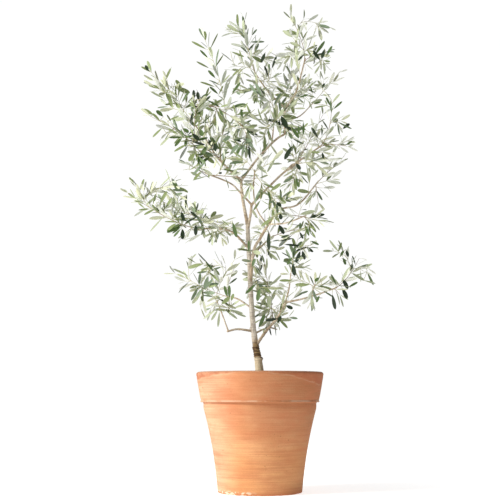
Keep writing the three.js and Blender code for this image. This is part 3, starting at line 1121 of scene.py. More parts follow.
@dataclass
class Trunk:
    """The trunk, from its flare in the soil to the fork."""

    flutes: float = 0.55
    lumps: float = 0.5
    roots: float = 1.6
    ring_scars: float = 0.75
    collar_swell: float = 1.1
    root_zone: Span = (385, 345)
    collar_foot: Span = (411, 418)
    collar_top: Span = (470, 440)
    step: float = 2.2
    sides: int = 40
    knots: tuple[Knot, ...] = (
        Knot(410, 0.0, 4.6, 5.0), Knot(447, 2.6, 2.2, 5.0), Knot(508, 3.1, 3.2, 4.5),
        Knot(560, 0.4, 1.6, 5.0), Knot(634, 2.4, 1.8, 6.0), Knot(704, 5.2, 1.6, 5.0),
        Knot(742, 0.3, 1.6, 5.0), Knot(796, 3.4, 1.4, 5.0),
    )

    def route(self) -> Route:
        """Lay the trunk's centreline."""
        return Route([Vector(point) for point in TRUNK_POINTS])

    def radius(self, t: float) -> float:
        """Find the plain radius at t.

        Args:
            t: the place along the trunk.

        Returns:
            The radius, in mm.
        """
        place = t * (len(TRUNK_RADII) - 1)
        low = min(int(place), len(TRUNK_RADII) - 2)
        return TRUNK_RADII[low] + (TRUNK_RADII[low + 1] - TRUNK_RADII[low]) * (place - low)

    def relief(self, height: float, angle: float) -> float:
        """Find how far flutes, roots, ring scars and knots lift the bark.

        Args:
            height: the bark's height.
            angle: the bark's angle round the trunk.

        Returns:
            The lift, in mm.
        """
        place = turned(9, angle, height)
        lift = self.flutes * ripple(Vector((place.x, place.y, height * 0.12)), 0.16)
        lift += self.lumps * ripple(place, 0.07, 4.0)
        lift += self.roots * smooth(*self.root_zone, height) * math.sin(5 * angle + 1.0)
        rings = self.ring_scars * math.sin(height * 0.9 + 1.2 * math.sin(angle))
        swell = self.collar_swell * ripple(place, 0.13, 2.0)
        collar = smooth(*self.collar_foot, height) * smooth(*self.collar_top, height)
        lift += collar * (rings + swell)
        return lift + sum(knot.bump(height, angle) for knot in self.knots)

    def build(self, bark: bpy.types.Material) -> None:
        """Make and dress the trunk.

        Args:
            bark: its material.
        """
        route = self.route()
        maker = MeshMaker()
        sleeve(maker, route, lambda t, angle: self.radius(t) + self.relief(route.at(t).z, angle),
               self.sides, self.step)
        for corner in maker.corners:
            corner.z = max(corner.z, SOIL_TOP)
        settle(maker.build("olive_trunk", [bark], 70), ["trunk"])


@dataclass
class Boughs:
    """All limbs above the trunk, each a thin sleeve of bark with swollen nodes."""

    step: float = 3.0
    sides: int = 14
    node_gap: float = 26.0
    node_swell: float = 0.1
    flare: float = 0.32
    flare_reach: float = 2.2
    grain: float = 0.09

    def routes(self) -> dict[str, Route]:
        """Lay every limb's centreline, from the trunk outwards.

        Returns:
            The routes by name.
        """
        laid = {"trunk": Trunk().route()}
        for limb in LIMBS:
            start = laid[limb.carrier].at(limb.place)
            laid[limb.name] = Route([start, *(Vector(point) for point in limb.points)])
        return laid

    def girth(self, number: int, length: float) -> Callable[[float, float], float]:
        """Shape a limb: taper it, flare its foot and swell it at each node.

        Args:
            number: the limb's place in the list.
            length: its length, in mm.

        Returns:
            A function that gives its radius at a place along it and an angle round it.
        """
        limb = LIMBS[number]

        def radius(t: float, angle: float) -> float:
            """Find the radius.

            Args:
                t: the place along the limb.
                angle: the angle round it.

            Returns:
                The radius, in mm.
            """
            plain = limb.foot + (limb.tip - limb.foot) * t
            along = t * length
            flare = self.flare * limb.foot * math.exp(-along / (self.flare_reach * limb.foot))
            swelling = self.node_swell * plain * math.cos(FULL_TURN * along / self.node_gap) ** 8
            place = turned(3, angle, along * 0.3 + 50 * number)
            return plain + flare + swelling + self.grain * plain * ripple(place, 0.35)

        return radius

    def build(self, bark: bpy.types.Material) -> None:
        """Make and dress the boughs.

        Args:
            bark: their material.
        """
        routes = self.routes()
        maker = MeshMaker()
        for number, limb in enumerate(LIMBS):
            route = routes[limb.name]
            sleeve(maker, route, self.girth(number, route.length()), self.sides, self.step)
        settle(maker.build("olive_boughs", [bark], 70), [limb.name for limb in LIMBS])


# ------------------------------------------------------------------------------ foliage


@dataclass(frozen=True)
class Spray:
    """A leafy shoot of a mass: its tip, the radius that its leaves fill, and its tone."""

    tip: Point
    girth: float
    tone: Tone


@dataclass(frozen=True)
class Mass:
    """A mass of foliage: the bough that ends in it, a row for each spray, and how far they bend.

    Some sprays stand for the spray of a solid, and the others fill the inside of the crown.
    """

    name: str
    bough: str
    rows: tuple[tuple[Point, float, Tone], ...]
    bend: float = 0.3

    def sprays(self) -> list[Spray]:
        """Read the rows."""
        return [Spray(*row) for row in self.rows]


S, O, G, D, N, Y = Tone.SAGE, Tone.OLIVE, Tone.GREY, Tone.DEEP, Tone.GREEN, Tone.STRAW

MASSES = (
    Mass("upper_left_tip", "far_left_bough", (
        ((-365, -80, 1345), 30, O), ((-280, -30, 1315), 4, S), ((-330, -115, 1260), 4, S),
        ((-230, -45, 1255), 14, O), ((-230, -60, 1225), 22, S))),
    Mass("upper_left_heart", "upper_left_bough", (
        ((-195, -110, 1250), 28, N), ((-105, -150, 1185), 4, O), ((-255, -130, 1090), 8, N),
        ((-370, -110, 1185), 14, O), ((-30, -140, 1085), 22, S), ((-95, -130, 1050), 10, G),
        ((-145, -70, 1220), 18, S), ((5, -90, 1095), 32, S), ((-190, -150, 1050), 22, D),
        ((-165, -130, 1030), 34, N), ((-120, -100, 1070), 34, O), ((-140, -110, 1155), 36, O),
        ((-220, -140, 1080), 26, N), ((-150, -110, 1120), 26, O), ((-315, -120, 1100), 10, O),
        ((-170, -60, 1245), 20, O), ((-75, -150, 1050), 18, G), ((-30, -120, 1055), 32, G))),
    Mass("upper_left_rear", "rear_left_bough", (
        ((-230, 130, 1280), 18, O), ((-55, 110, 1230), 8, G), ((-320, 150, 1200), 12, S),
        ((-170, 200, 1270), 6, O), ((-65, 170, 1145), 14, S), ((-20, 60, 1170), 32, S),
        ((-125, 130, 1155), 34, G))),
    Mass("cross_spray", "cross_bough", (
        ((-220, -110, 1000), 8, O), ((-250, -134, 1020), 8, G), ((-105, -160, 1030), 10, O),
        ((25, -90, 970), 20, S))),
    Mass("tall_left_shoot", "tall_left_stem", (((-190, 40, 1510), 38, G),), 0.38),
    Mass("top_middle", "top_left_bough", (
        ((-55, 30, 1565), 26, G), ((-105, -10, 1510), 16, S), ((-100, 20, 1385), 4, S),
        ((-10, 75, 1450), 12, O), ((-85, -20, 1275), 2, O), ((65, 90, 1400), 22, S),
        ((-25, -30, 1280), 38, S), ((-40, 20, 1400), 26, O), ((50, 40, 1320), 34, S),
        ((-45, 0, 1330), 20, S), ((-80, 0, 1345), 26, S), ((-10, -40, 1235), 24, S))),
    Mass("top_right", "top_right_bough", (
        ((95, -60, 1545), 26, S), ((155, -20, 1545), 4, O), ((255, 0, 1500), 4, S),
        ((95, 10, 1435), 14, S), ((235, -70, 1405), 10, D), ((195, -40, 1335), 14, S),
        ((205, -30, 1460), 12, Y), ((230, -20, 1365), 10, O), ((70, 20, 1370), 22, S),
        ((130, -30, 1380), 26, S), ((120, 20, 1410), 10, S), ((170, -40, 1430), 28, O),
        ((75, 20, 1420), 26, S))),
    Mass("crown_rear", "crown_rear_bough", (
        ((100, 140, 1415), 30, S), ((195, 160, 1360), 14, S), ((10, 180, 1365), 30, Y),
        ((150, 200, 1300), 6, O), ((95, 90, 1310), 34, S), ((55, 40, 1275), 28, O),
        ((180, 40, 1285), 28, S))),
    Mass("right_sprig", "sprig_bough", (
        ((290, 95, 1400), 8, Y), ((200, 40, 1365), 22, S))),
    Mass("second_top", "second_stem", (
        ((20, -90, 1260), 18, S), ((-50, -90, 1190), 4, O), ((80, -112, 1245), 8, Y),
        ((130, -86, 1210), 8, O), ((-10, -120, 1110), 30, S), ((5, -90, 1085), 30, O),
        ((-10, -60, 1245), 26, G), ((15, -60, 1205), 28, S), ((115, -110, 1090), 24, D))),
    Mass("right_upper", "east_bough", (
        ((240, -70, 1250), 5, S), ((285, -50, 1180), 4, O), ((125, -135, 1130), 4, D),
        ((310, -20, 1095), 10, Y), ((265, -40, 1145), 16, D), ((285, -30, 1125), 20, S))),
    Mass("right_lower", "right_stem_upper", (
        ((280, 0, 1065), 10, S), ((230, -30, 950), 3, G), ((195, 20, 890), 6, S),
        ((155, -40, 900), 18, O))),
    Mass("right_rear", "east_rear_bough", (
        ((230, 150, 1270), 6, S), ((265, 130, 1145), 4, O), ((155, 175, 1005), 5, Y),
        ((85, 200, 1205), 8, S), ((90, 120, 945), 14, O))),
    Mass("mid_right", "mid_right_bough", (
        ((230, -110, 1035), 8, S), ((165, -100, 1000), 6, O), ((145, -80, 1010), 34, G),
        ((185, -60, 1035), 30, O), ((155, -60, 1065), 24, O), ((100, -120, 950), 3, O),
        ((95, -140, 1050), 6, D))),
    Mass("centre_front", "inner_riser", (
        ((50, -160, 1020), 14, S), ((-50, -180, 1025), 8, Y), ((40, -185, 885), 4, O),
        ((65, -170, 865), 32, G), ((20, -140, 845), 24, N), ((85, -150, 835), 28, O),
        ((-75, -120, 910), 14, S), ((30, -140, 975), 18, S)), 0.2),
    Mass("left_mid", "left_mid_bough", (
        ((-445, -60, 945), 12, O), ((-410, -90, 975), 16, O), ((-325, -40, 965), 5, S),
        ((-265, -100, 960), 12, O), ((-255, -110, 780), 6, D), ((-325, -50, 890), 34, S),
        ((-200, -80, 825), 18, G), ((-255, -60, 935), 24, S), ((-250, -100, 820), 14, O),
        ((-345, -60, 870), 28, O), ((-335, -70, 955), 30, O), ((-355, -60, 940), 26, O),
        ((-270, -90, 815), 26, N), ((-225, -90, 820), 24, O), ((-290, -70, 835), 34, S),
        ((-235, -70, 910), 22, G), ((-170, -60, 860), 24, S), ((-65, -40, 815), 26, O),
        ((-285, -60, 880), 30, G))),
    Mass("left_mid_rear", "left_rear_bough", (
        ((-380, 120, 965), 6, G), ((-195, 140, 930), 18, S), ((-85, 110, 810), 20, S),
        ((-260, 210, 940), 22, S), ((-135, 60, 805), 12, S), ((-75, 100, 840), 32, S))),
    Mass("right_hanging", "right_stem_lower", (
        ((210, -160, 820), 10, S), ((165, -175, 775), 20, O), ((95, -165, 780), 8, D),
        ((35, -170, 850), 8, O), ((135, -120, 785), 10, G))),
    Mass("right_riser", "low_right_riser", (
        ((130, -90, 835), 10, D), ((180, -112, 765), 20, S), ((155, -60, 710), 14, S),
        ((115, -60, 695), 16, G))),
    Mass("low_centre", "low_back_bough", (
        ((10, 62, 760), 8, Y), ((-30, 90, 730), 18, S), ((35, 120, 640), 6, O),
        ((-10, 110, 635), 26, G), ((-10, 60, 520), 16, S), ((10, 40, 590), 34, S),
        ((-10, 60, 625), 20, S), ((15, 20, 640), 34, S), ((-45, 40, 685), 18, O),
        ((-55, 60, 640), 28, S), ((0, 40, 560), 34, O), ((55, 60, 595), 32, S),
        ((80, 100, 640), 18, S), ((45, 10, 530), 26, S), ((85, 40, 570), 30, O),
        ((60, 10, 530), 10, S), ((45, 40, 575), 26, S)), 0.12),
    Mass("low_left", "low_left_riser", (
        ((-290, -30, 695), 16, S), ((-225, -12, 750), 5, S), ((-170, -60, 710), 9, G),
        ((-70, -90, 740), 2, Y), ((-155, -40, 675), 16, S), ((-195, -60, 655), 22, G),
        ((-185, -60, 540), 4, S), ((-65, -80, 535), 4, S), ((-180, -60, 680), 34, O),
        ((-175, -80, 620), 14, O), ((-105, -60, 730), 6, Y), ((-170, -80, 590), 6, O))),
    Mass("low_left_rear", "low_rear_left", (
        ((-220, 150, 665), 4, O), ((-80, 160, 740), 1, S), ((-180, 160, 570), 1, G))),
    Mass("far_right", "low_right_reach", (
        ((255, -60, 770), 11, S), ((370, -40, 695), 14, Y), ((210, -112, 750), 4, S),
        ((335, 0, 750), 4, S), ((270, -72, 590), 6, S), ((275, -60, 630), 14, S))),
    Mass("reach_spray", "reach_riser", (
        ((180, -60, 670), 4, O), ((225, -92, 645), 2, S), ((165, -76, 565), 14, G),
        ((100, -80, 665), 34, O), ((190, -60, 615), 20, S))),
    Mass("rear_low", "rear_low_bough", (
        ((175, 200, 870), 5, O), ((-15, 220, 920), 6, S), ((10, 230, 750), 4, G),
        ((-70, 200, 810), 28, S), ((40, 80, 755), 32, S))),
)


@dataclass(frozen=True)
class Accent:
    """A leaf that stands out in front: its foot, its slope in degrees, length, half width, tone."""

    foot: Point
    slope: float
    length: float
    half: float
    tone: Tone


ACCENTS = tuple(Accent(*row) for row in (
    ((65, -150, 1160), -65, 45, 9, D), ((95, -160, 1125), -60, 50, 6, N),
    ((120, -150, 1130), -90, 30, 4, N), ((135, -150, 1140), -90, 40, 4, N),
    ((100, -165, 1060), -120, 50, 7, D), ((-35, -165, 1065), -85, 45, 4, D),
    ((-95, -160, 1030), 50, 45, 6, G), ((-75, -160, 1025), 65, 30, 4, N),
    ((-85, -150, 1085), -15, 30, 4, D), ((-60, -120, 1205), -85, 50, 4, N),
    ((-170, -120, 1220), -25, 50, 4, N), ((-130, -120, 1195), -65, 30, 4, N),
    ((125, -110, 1230), 20, 30, 4, N), ((170, -90, 1215), 15, 25, 4, N),
    ((110, -165, 1005), -55, 25, 6, D), ((195, -120, 1050), -80, 20, 4, D),
    ((110, -150, 965), -75, 35, 4, N), ((25, -185, 915), -80, 30, 4, N),
    ((50, -185, 880), -50, 20, 6, D), ((90, -180, 915), -110, 30, 4, N),
    ((60, -185, 845), -80, 20, 6, D), ((-85, -150, 825), -75, 50, 6, N),
    ((-35, -60, 740), 90, 40, 4, N), ((-25, -60, 695), 70, 30, 6, N), ((25, -190, 790), -90, 60, 6, D),
    ((55, -190, 810), -60, 35, 7, D), ((70, -180, 750), -5, 50, 4, D), ((55, -170, 760), 15, 45, 3, D),
    ((120, -170, 790), -65, 25, 4, D), ((135, -170, 815), -70, 40, 4, N),
    ((125, -120, 740), -110, 40, 6, D), ((130, -120, 740), -75, 30, 6, D),
    ((100, -120, 700), -80, 40, 7, D), ((100, -120, 720), -125, 30, 4, N),
    ((155, -120, 770), -25, 30, 4, N), ((-10, -60, 645), -135, 50, 5, N),
    ((0, -70, 630), -100, 45, 7, N), ((-5, -20, 505), 65, 50, 6, N), ((80, -60, 575), -25, 25, 6, D),
    ((55, -50, 520), 65, 25, 6, D), ((-100, -90, 595), 105, 40, 5, N), ((-95, -90, 590), 90, 45, 5, N),
    ((-90, -90, 585), 70, 25, 5, O), ((-120, -90, 575), 40, 35, 7, O),
    ((-160, -100, 665), -105, 45, 7, G), ((-145, -100, 655), -125, 30, 5, G),
    ((-175, -100, 625), -130, 35, 5, G), ((-170, -90, 710), -50, 35, 4, N),
    ((160, -80, 605), -85, 45, 6, S), ((185, -80, 605), -115, 25, 4, N),
    ((185, -90, 660), -140, 20, 5, N), ((-135, -90, 560), -145, 50, 4, S),
    ((-130, -90, 560), -120, 40, 4, S), ((-125, -90, 555), -95, 50, 4, S),
    ((-110, -90, 560), -35, 50, 4, S), ((-100, -90, 560), -15, 50, 4, S),
    ((-180, 40, 1470), 95, 35, 6, O), ((-175, 40, 1440), 150, 60, 4, O),
    ((-165, 40, 1440), 65, 65, 3, O), ((-170, 40, 1410), 135, 40, 4, N),
    ((-165, 40, 1375), 155, 50, 4, O), ((-145, 40, 1340), 130, 40, 5, N),
    ((-150, 40, 1375), 55, 55, 3, O), ((-145, 40, 1310), 160, 55, 4, O),
    ((-135, 40, 1285), 140, 40, 5, N), ((-135, 40, 1285), 65, 35, 3, O),
    ((-130, 40, 1315), 50, 50, 3, S), ((-70, 20, 1510), 95, 50, 4, O), ((-50, 20, 1505), 95, 50, 4, N),
    ((-95, 0, 1420), -25, 50, 4, O), ((-90, -60, 1255), 55, 50, 4, N),
    ((20, 20, 1425), -110, 40, 6, D), ((30, 20, 1355), 85, 30, 4, N), ((40, 20, 1365), 70, 50, 4, D),
    ((145, -60, 1390), -135, 30, 4, D), ((195, -70, 1365), 125, 40, 6, D),
    ((210, -70, 1405), -105, 35, 6, D), ((215, -70, 1380), 60, 40, 5, N),
    ((200, -60, 1275), 60, 20, 4, D), ((225, -70, 1215), 115, 30, 4, N),
    ((235, -60, 1205), 40, 40, 4, N), ((265, -60, 1140), 40, 30, 6, D),
    ((275, -50, 1090), 30, 25, 4, N), ((225, -60, 1040), 10, 40, 3, S),
    ((-355, -80, 1325), 120, 25, 5, D), ((-305, -60, 1300), 65, 45, 4, O),
    ((-250, -80, 1220), 55, 45, 5, N), ((-210, -90, 1225), 90, 35, 5, D),
    ((-195, -90, 1225), 95, 30, 6, D), ((-190, -90, 1230), 35, 30, 6, N),
    ((-220, -100, 1195), 25, 25, 5, D), ((-305, -120, 1130), -135, 45, 4, O),
    ((-240, -150, 1120), -40, 25, 6, N), ((-210, -160, 1100), -45, 30, 7, D),
    ((-185, -160, 1115), -75, 25, 7, N), ((-160, -165, 1080), -60, 25, 6, D),
    ((-140, -165, 1070), -85, 30, 6, D), ((-165, -165, 1060), -115, 30, 7, N),
    ((-170, -165, 1025), -160, 25, 6, D), ((-155, -165, 1025), -140, 30, 6, N),
    ((-220, -130, 990), 30, 40, 3, O), ((-395, -80, 950), 120, 35, 4, O),
    ((-375, -80, 940), 75, 35, 4, O), ((-275, -110, 970), -65, 40, 7, N),
    ((-245, -110, 865), -75, 35, 6, D), ((-190, -110, 850), -150, 50, 4, D),
    ((-200, -100, 825), -90, 35, 6, D), ((-240, -110, 810), -90, 35, 7, D),
    ((-245, -110, 810), -130, 35, 4, N), ((-305, -80, 850), -130, 60, 3, S),
    ((245, -70, 740), 70, 35, 4, O), ((250, -70, 725), 60, 25, 4, N), ((260, -70, 725), -70, 25, 5, N),
    ((270, -70, 750), -75, 25, 5, D), ((255, -75, 660), -60, 40, 7, D),
    ((255, -75, 630), -65, 40, 7, D), ((225, -75, 610), -80, 50, 6, D),
    ((275, -70, 630), 30, 35, 4, N), ((325, -50, 655), -15, 40, 3, S),
    ((-275, -90, 1205), 115, 55, 7, O), ((-250, -60, 1275), 125, 35, 6, O),
    ((-305, -80, 1265), 160, 55, 6, O), ((-305, -80, 1235), 155, 50, 4, S),
    ((-335, -100, 1175), 150, 40, 6, O), ((-305, -100, 1170), 140, 30, 7, N),
    ((-290, -120, 1150), 30, 40, 4, O), ((-280, -130, 1100), -135, 45, 4, S),
    ((-220, -140, 1075), -150, 55, 4, O), ((-200, -160, 1040), -125, 35, 7, O),
    ((-165, -160, 1015), -130, 65, 5, G), ((-180, -150, 985), -130, 40, 4, O),
    ((-140, -110, 1185), 160, 35, 5, O), ((-85, -140, 1050), 120, 35, 7, O),
    ((-120, -140, 1075), 40, 35, 6, G), ((-75, -150, 1000), 110, 35, 6, O),
    ((-55, -150, 1000), 95, 35, 4, S), ((-65, -150, 995), -135, 35, 4, S),
    ((20, -150, 975), 135, 40, 7, S), ((50, -140, 1030), -120, 55, 4, S),
    ((-325, -80, 920), -135, 45, 4, S), ((-315, -80, 890), 65, 50, 6, O),
    ((-300, -80, 875), 55, 45, 5, O), ((-325, -80, 880), -150, 45, 4, O),
    ((-260, -100, 830), -140, 40, 5, O), ((30, -60, 565), 95, 40, 7, S),
    ((45, -60, 630), -5, 30, 4, S), ((40, -60, 610), 140, 40, 5, O),
))


@dataclass(frozen=True)
class LeafShape:
    """A narrow leaf: its half width at shares of its length, its fold and its thickness, and how
    much one leaf's width and arch differ from another's."""

    stations: tuple[float, ...] = (0.08, 0.22, 0.42, 0.62, 0.82, 0.94)
    half_widths: tuple[float, ...] = (0.12, 0.54, 0.88, 1.0, 0.84, 0.5)
    slimness: float = 0.116
    fold: float = 0.2
    thickness: float = 0.5
    widths: Span = (0.58, 1.18)
    arches: Span = (-0.05, 0.12)


@dataclass(frozen=True)
class Habit:
    """How a kind of stem carries its leaves: its bare share, the gap between pairs, and its radius
    at the foot and at the tip."""

    bare: float
    pair_gap: float
    foot: float
    tip: float = 0.55


@dataclass
class Grower:
    """Grows leafy shoots by a seeded rule, and gathers their leaves and stems."""

    rng: random.Random
    leaves: MeshMaker = field(default_factory=MeshMaker)
    stems: MeshMaker = field(default_factory=MeshMaker)
    shape: LeafShape = field(default_factory=LeafShape)
    leaf_length: float = 48.0
    sizes: Span = (0.75, 1.15)
    stray: float = 0.42
    stray_weights: tuple[int, ...] = (34, 26, 20, 6, 10, 8)
    missing: float = 0.13
    stem_sides: int = 5
    stem_step: float = 9.0
    open_angle: float = 58.0
    closing: float = 32.0
    turn_cost: float = 62.0
    shoot_area: float = 1250.0
    shoot_turn: float = 137.0
    shoot_habit: Habit = Habit(0.34, 21, 0.9)
    shoot_zone: Span = (0.3, 0.88)
    shoot_lengths: Span = (1.7, 2.6)
    thick_foot: float = 1.3
    long_twig: float = 31.2
    front: float = -174.0
    back: float = 226.0
    leaf_count: int = 0

    def pick(self, tone: Tone) -> Tone:
        """Deal a leaf its tone: mostly its spray's, and now and then another.

        Args:
            tone: the spray's tone.

        Returns:
            The leaf's tone.
        """
        if self.rng.random() > self.stray:
            return tone
        return self.rng.choices(list(Tone), self.stray_weights)[0]

    def leaf(self, root: Vector, ahead: Vector, up: Vector, length: float, tone: Tone,
             half: float = 0.0) -> None:
        """Add one closed, folded, slightly arched leaf.

        Args:
            root: where it leaves the stem.
            ahead: the unit direction of its midrib.
            up: about the way its upper face looks.
            length: its length, in mm.
            tone: its colours.
            half: its greatest half width in mm, or 0 for the usual.
        """
        shape = self.shape
        across = ahead.cross(up).normalized()
        face = across.cross(ahead).normalized()
        width = half or length * shape.slimness * self.rng.uniform(*shape.widths)
        arch = self.rng.uniform(*shape.arches) * length
        rib = face * shape.thickness * 0.5
        corners = [root]
        for share, wide in zip(shape.stations, shape.half_widths):
            middle = root + ahead * length * share - face * arch * share**2
            edge = across * width * wide
            lift = face * width * wide * shape.fold
            corners += [middle - edge + lift, middle + rib, middle + edge + lift, middle - rib]
        corners.append(root + ahead * length - face * arch)
        tip = len(corners) - 1
        top = [(0, 2, 1), (0, 3, 2)]
        under = [(0, 1, 4), (0, 4, 3)]
        for a in range(1, tip - 4, 4):
            b = a + 4
            top += [(a, a + 1, b + 1, b), (a + 1, a + 2, b + 2, b + 1)]
            under += [(a, b, b + 3, a + 3), (a + 3, b + 3, b + 2, a + 2)]
        top += [(tip - 4, tip - 3, tip), (tip - 3, tip - 2, tip)]
        under += [(tip - 4, tip, tip - 1), (tip - 1, tip, tip - 2)]
        self.leaves.add(corners, top + under, tone.slot)
        self.leaves.slots[-len(under):] = [tone.slot + 1] * len(under)
        self.leaf_count += 1

    def shoot(self, route: Route, habit: Habit, tone: Tone, stem: Stem) -> None:
        """Grow one stem with pairs of leaves that turn a quarter from node to node.

        Args:
            route: the stem's centreline.
            habit: how the stem carries its leaves.
            tone: the leaves' colours.
            stem: the stem's colour.
        """
        sleeve(self.stems, route, lambda t, a: habit.foot + (habit.tip - habit.foot) * t,
               self.stem_sides, self.stem_step, stem.slot)
        pairs = max(1, round(route.length() * (1 - habit.bare) / habit.pair_gap))
        turn = self.rng.uniform(0, math.pi)
        for t in spread(habit.bare, 1, pairs):
            turn += math.pi / 2 + self.rng.gauss(0, 0.3)
            self.pair(route, t, tone, turn)

    def pair(self, route: Route, t: float, tone: Tone, turn: float = 0.0) -> None:
        """Grow two leaves that face each other across a stem.

        Args:
            route: the stem's centreline.
            t: the place along it.
            tone: the leaves' colours.
            turn: the angle of the pair round the stem.
        """
        ahead = route.heading(t)
        side = ahead.cross(Vector((0.3, 0.2, 1))).normalized()
        other = ahead.cross(side).normalized()
        angle = math.radians(self.open_angle - self.closing * t + self.rng.gauss(0, 8))
        size = self.leaf_length * (0.82 + 0.26 * math.sin(math.pi * min(t * 0.9 + 0.1, 1)))
        for way in (turn, turn + math.pi):
            if self.rng.random() < self.missing:
                continue
            out = side * math.cos(way) + other * math.sin(way)
            aim = (ahead * math.cos(angle) + out * math.sin(angle)).normalized()
            twist = Matrix.Rotation(self.rng.gauss(0, 0.7), 3, aim)
            up = twist @ (ahead + Vector((0, 0, 0.5)))
            self.leaf(route.at(t), aim, up, size * self.rng.uniform(*self.sizes), self.pick(tone))

    def fork(self, leaders: Sequence[Route], root: Vector, heading: Vector,
             goal: Vector) -> tuple[Vector, Vector]:
        """Find where a new spray springs from: the bough's end, or a leader that passes near.

        Args:
            leaders: the leaders that the mass has so far.
            root: the bough's end.
            heading: the bough's direction there.
            goal: the new spray's tip.

        Returns:
            The place, and the direction of the new spray there.
        """
        places = [(root, heading)]
        for leader in leaders:
            places += [(leader.at(k / 12), leader.heading(k / 12)) for k in range(2, 10)]

        def cost(place: tuple[Vector, Vector]) -> float:
            """Price a new spray: its length, and more where it turns away from its carrier.

            Args:
                place: where it would spring from, and the carrier's direction there.

            Returns:
                The price.
            """
            way = goal - place[0]
            turn = way.angle(place[1]) / math.radians(self.turn_cost)
            return way.length * (1 + 0.5 * turn**2)

        place, ahead = min(places, key=cost)
        way = (goal - place).normalized()
        return place, ahead.lerp(way, smooth(0.8, 1.7, way.angle(ahead))).normalized()

    def spray(self, root: Vector, heading: Vector, plan: Spray, bend: float, foot: float,
              lonely: bool) -> Route:
        """Grow a spray: a leader to its tip and side shoots that are longest near its foot.

        Args:
            root: where it leaves its carrier.
            heading: the direction that it starts in.
            plan: the spray's tip, girth and tone.
            bend: how far the leader keeps to that direction, as a share of its reach.
            foot: the leader's radius at its foot.
            lonely: whether it is the only spray of its bough.

        Returns:
            The leader's centreline.
        """
        goal = Vector(plan.tip)
        reach = (goal - root).length
        end = root + (goal - root) * (1 - 0.6 * self.leaf_length / reach)
        leader = bent(root, heading, end, bend, 6)
        habit = Habit(0.2, 30, foot) if lonely else Habit(0.4, 25, foot)
        self.shoot(leader, habit, plan.tone, Stem.BROWN if foot > self.thick_foot else Stem.GREEN)
        if lonely:
            return leader
        count = round(reach * plan.girth / self.shoot_area)
        first, last = self.shoot_zone
        azimuth = self.rng.uniform(0, FULL_TURN)
        for number in range(count):
            t = first + (last - first) * (number + self.rng.uniform(0.1, 0.9)) / count
            azimuth += math.radians(self.shoot_turn)
            length = plan.girth * self.rng.uniform(*self.shoot_lengths) * (1.25 - 0.8 * t)
            self.side_shoot(leader, t, azimuth, length, plan.tone)
        return leader

    def side_shoot(self, carrier: Route, t: float, azimuth: float, length: float, tone: Tone) -> None:
        """Grow a short leafy shoot from the side of a stem.

        Args:
            carrier: the stem's centreline.
            t: the place along it.
            azimuth: the angle round it.
            length: the shoot's length, in mm.
            tone: the leaves' colours.
        """
        ahead = carrier.heading(t)
        out = Matrix.Rotation(azimuth, 3, ahead) @ ahead.orthogonal().normalized()
        aim = (ahead * 0.7 + out * 0.75 + Vector((0, 0, 0.1))).normalized()
        start = carrier.at(t)
        finish = start + (aim + ahead * 0.25).normalized() * length
        finish.y = min(max(finish.y, self.front), self.back)
        self.shoot(bent(start, aim, finish, 0.4, 4), self.shoot_habit, tone, Stem.GREEN)

    def accent(self, carriers: Sequence[Route], plan: Accent) -> None:
        """Grow a twig from the nearest stem to the foot of a leaf that stands out, and the leaf.

        Args:
            carriers: the centrelines of the stems.
            plan: the leaf.
        """
        foot = Vector(plan.foot)
        places = [(route, k / 10) for route in carriers for k in range(2, 11)]
        route, t = min(places, key=lambda place: (place[0].at(place[1]) - foot).length)
        twig = bent(route.at(t), route.heading(t), foot, 0.3, 4)
        sleeve(self.stems, twig, lambda share, angle: 1.1 - 0.4 * share,
               self.stem_sides, self.stem_step, Stem.GREEN.slot)
        slope = math.radians(plan.slope)
        aim = Vector((math.cos(slope), self.rng.uniform(-0.2, 0.1), math.sin(slope))).normalized()
        if twig.length() > self.long_twig:
            self.pair(twig, 0.5, self.pick(plan.tone))
        up = Vector((self.rng.gauss(0, 0.2), -1, 0.35))
        self.leaf(foot, aim, up, plan.length, plan.tone, plan.half)


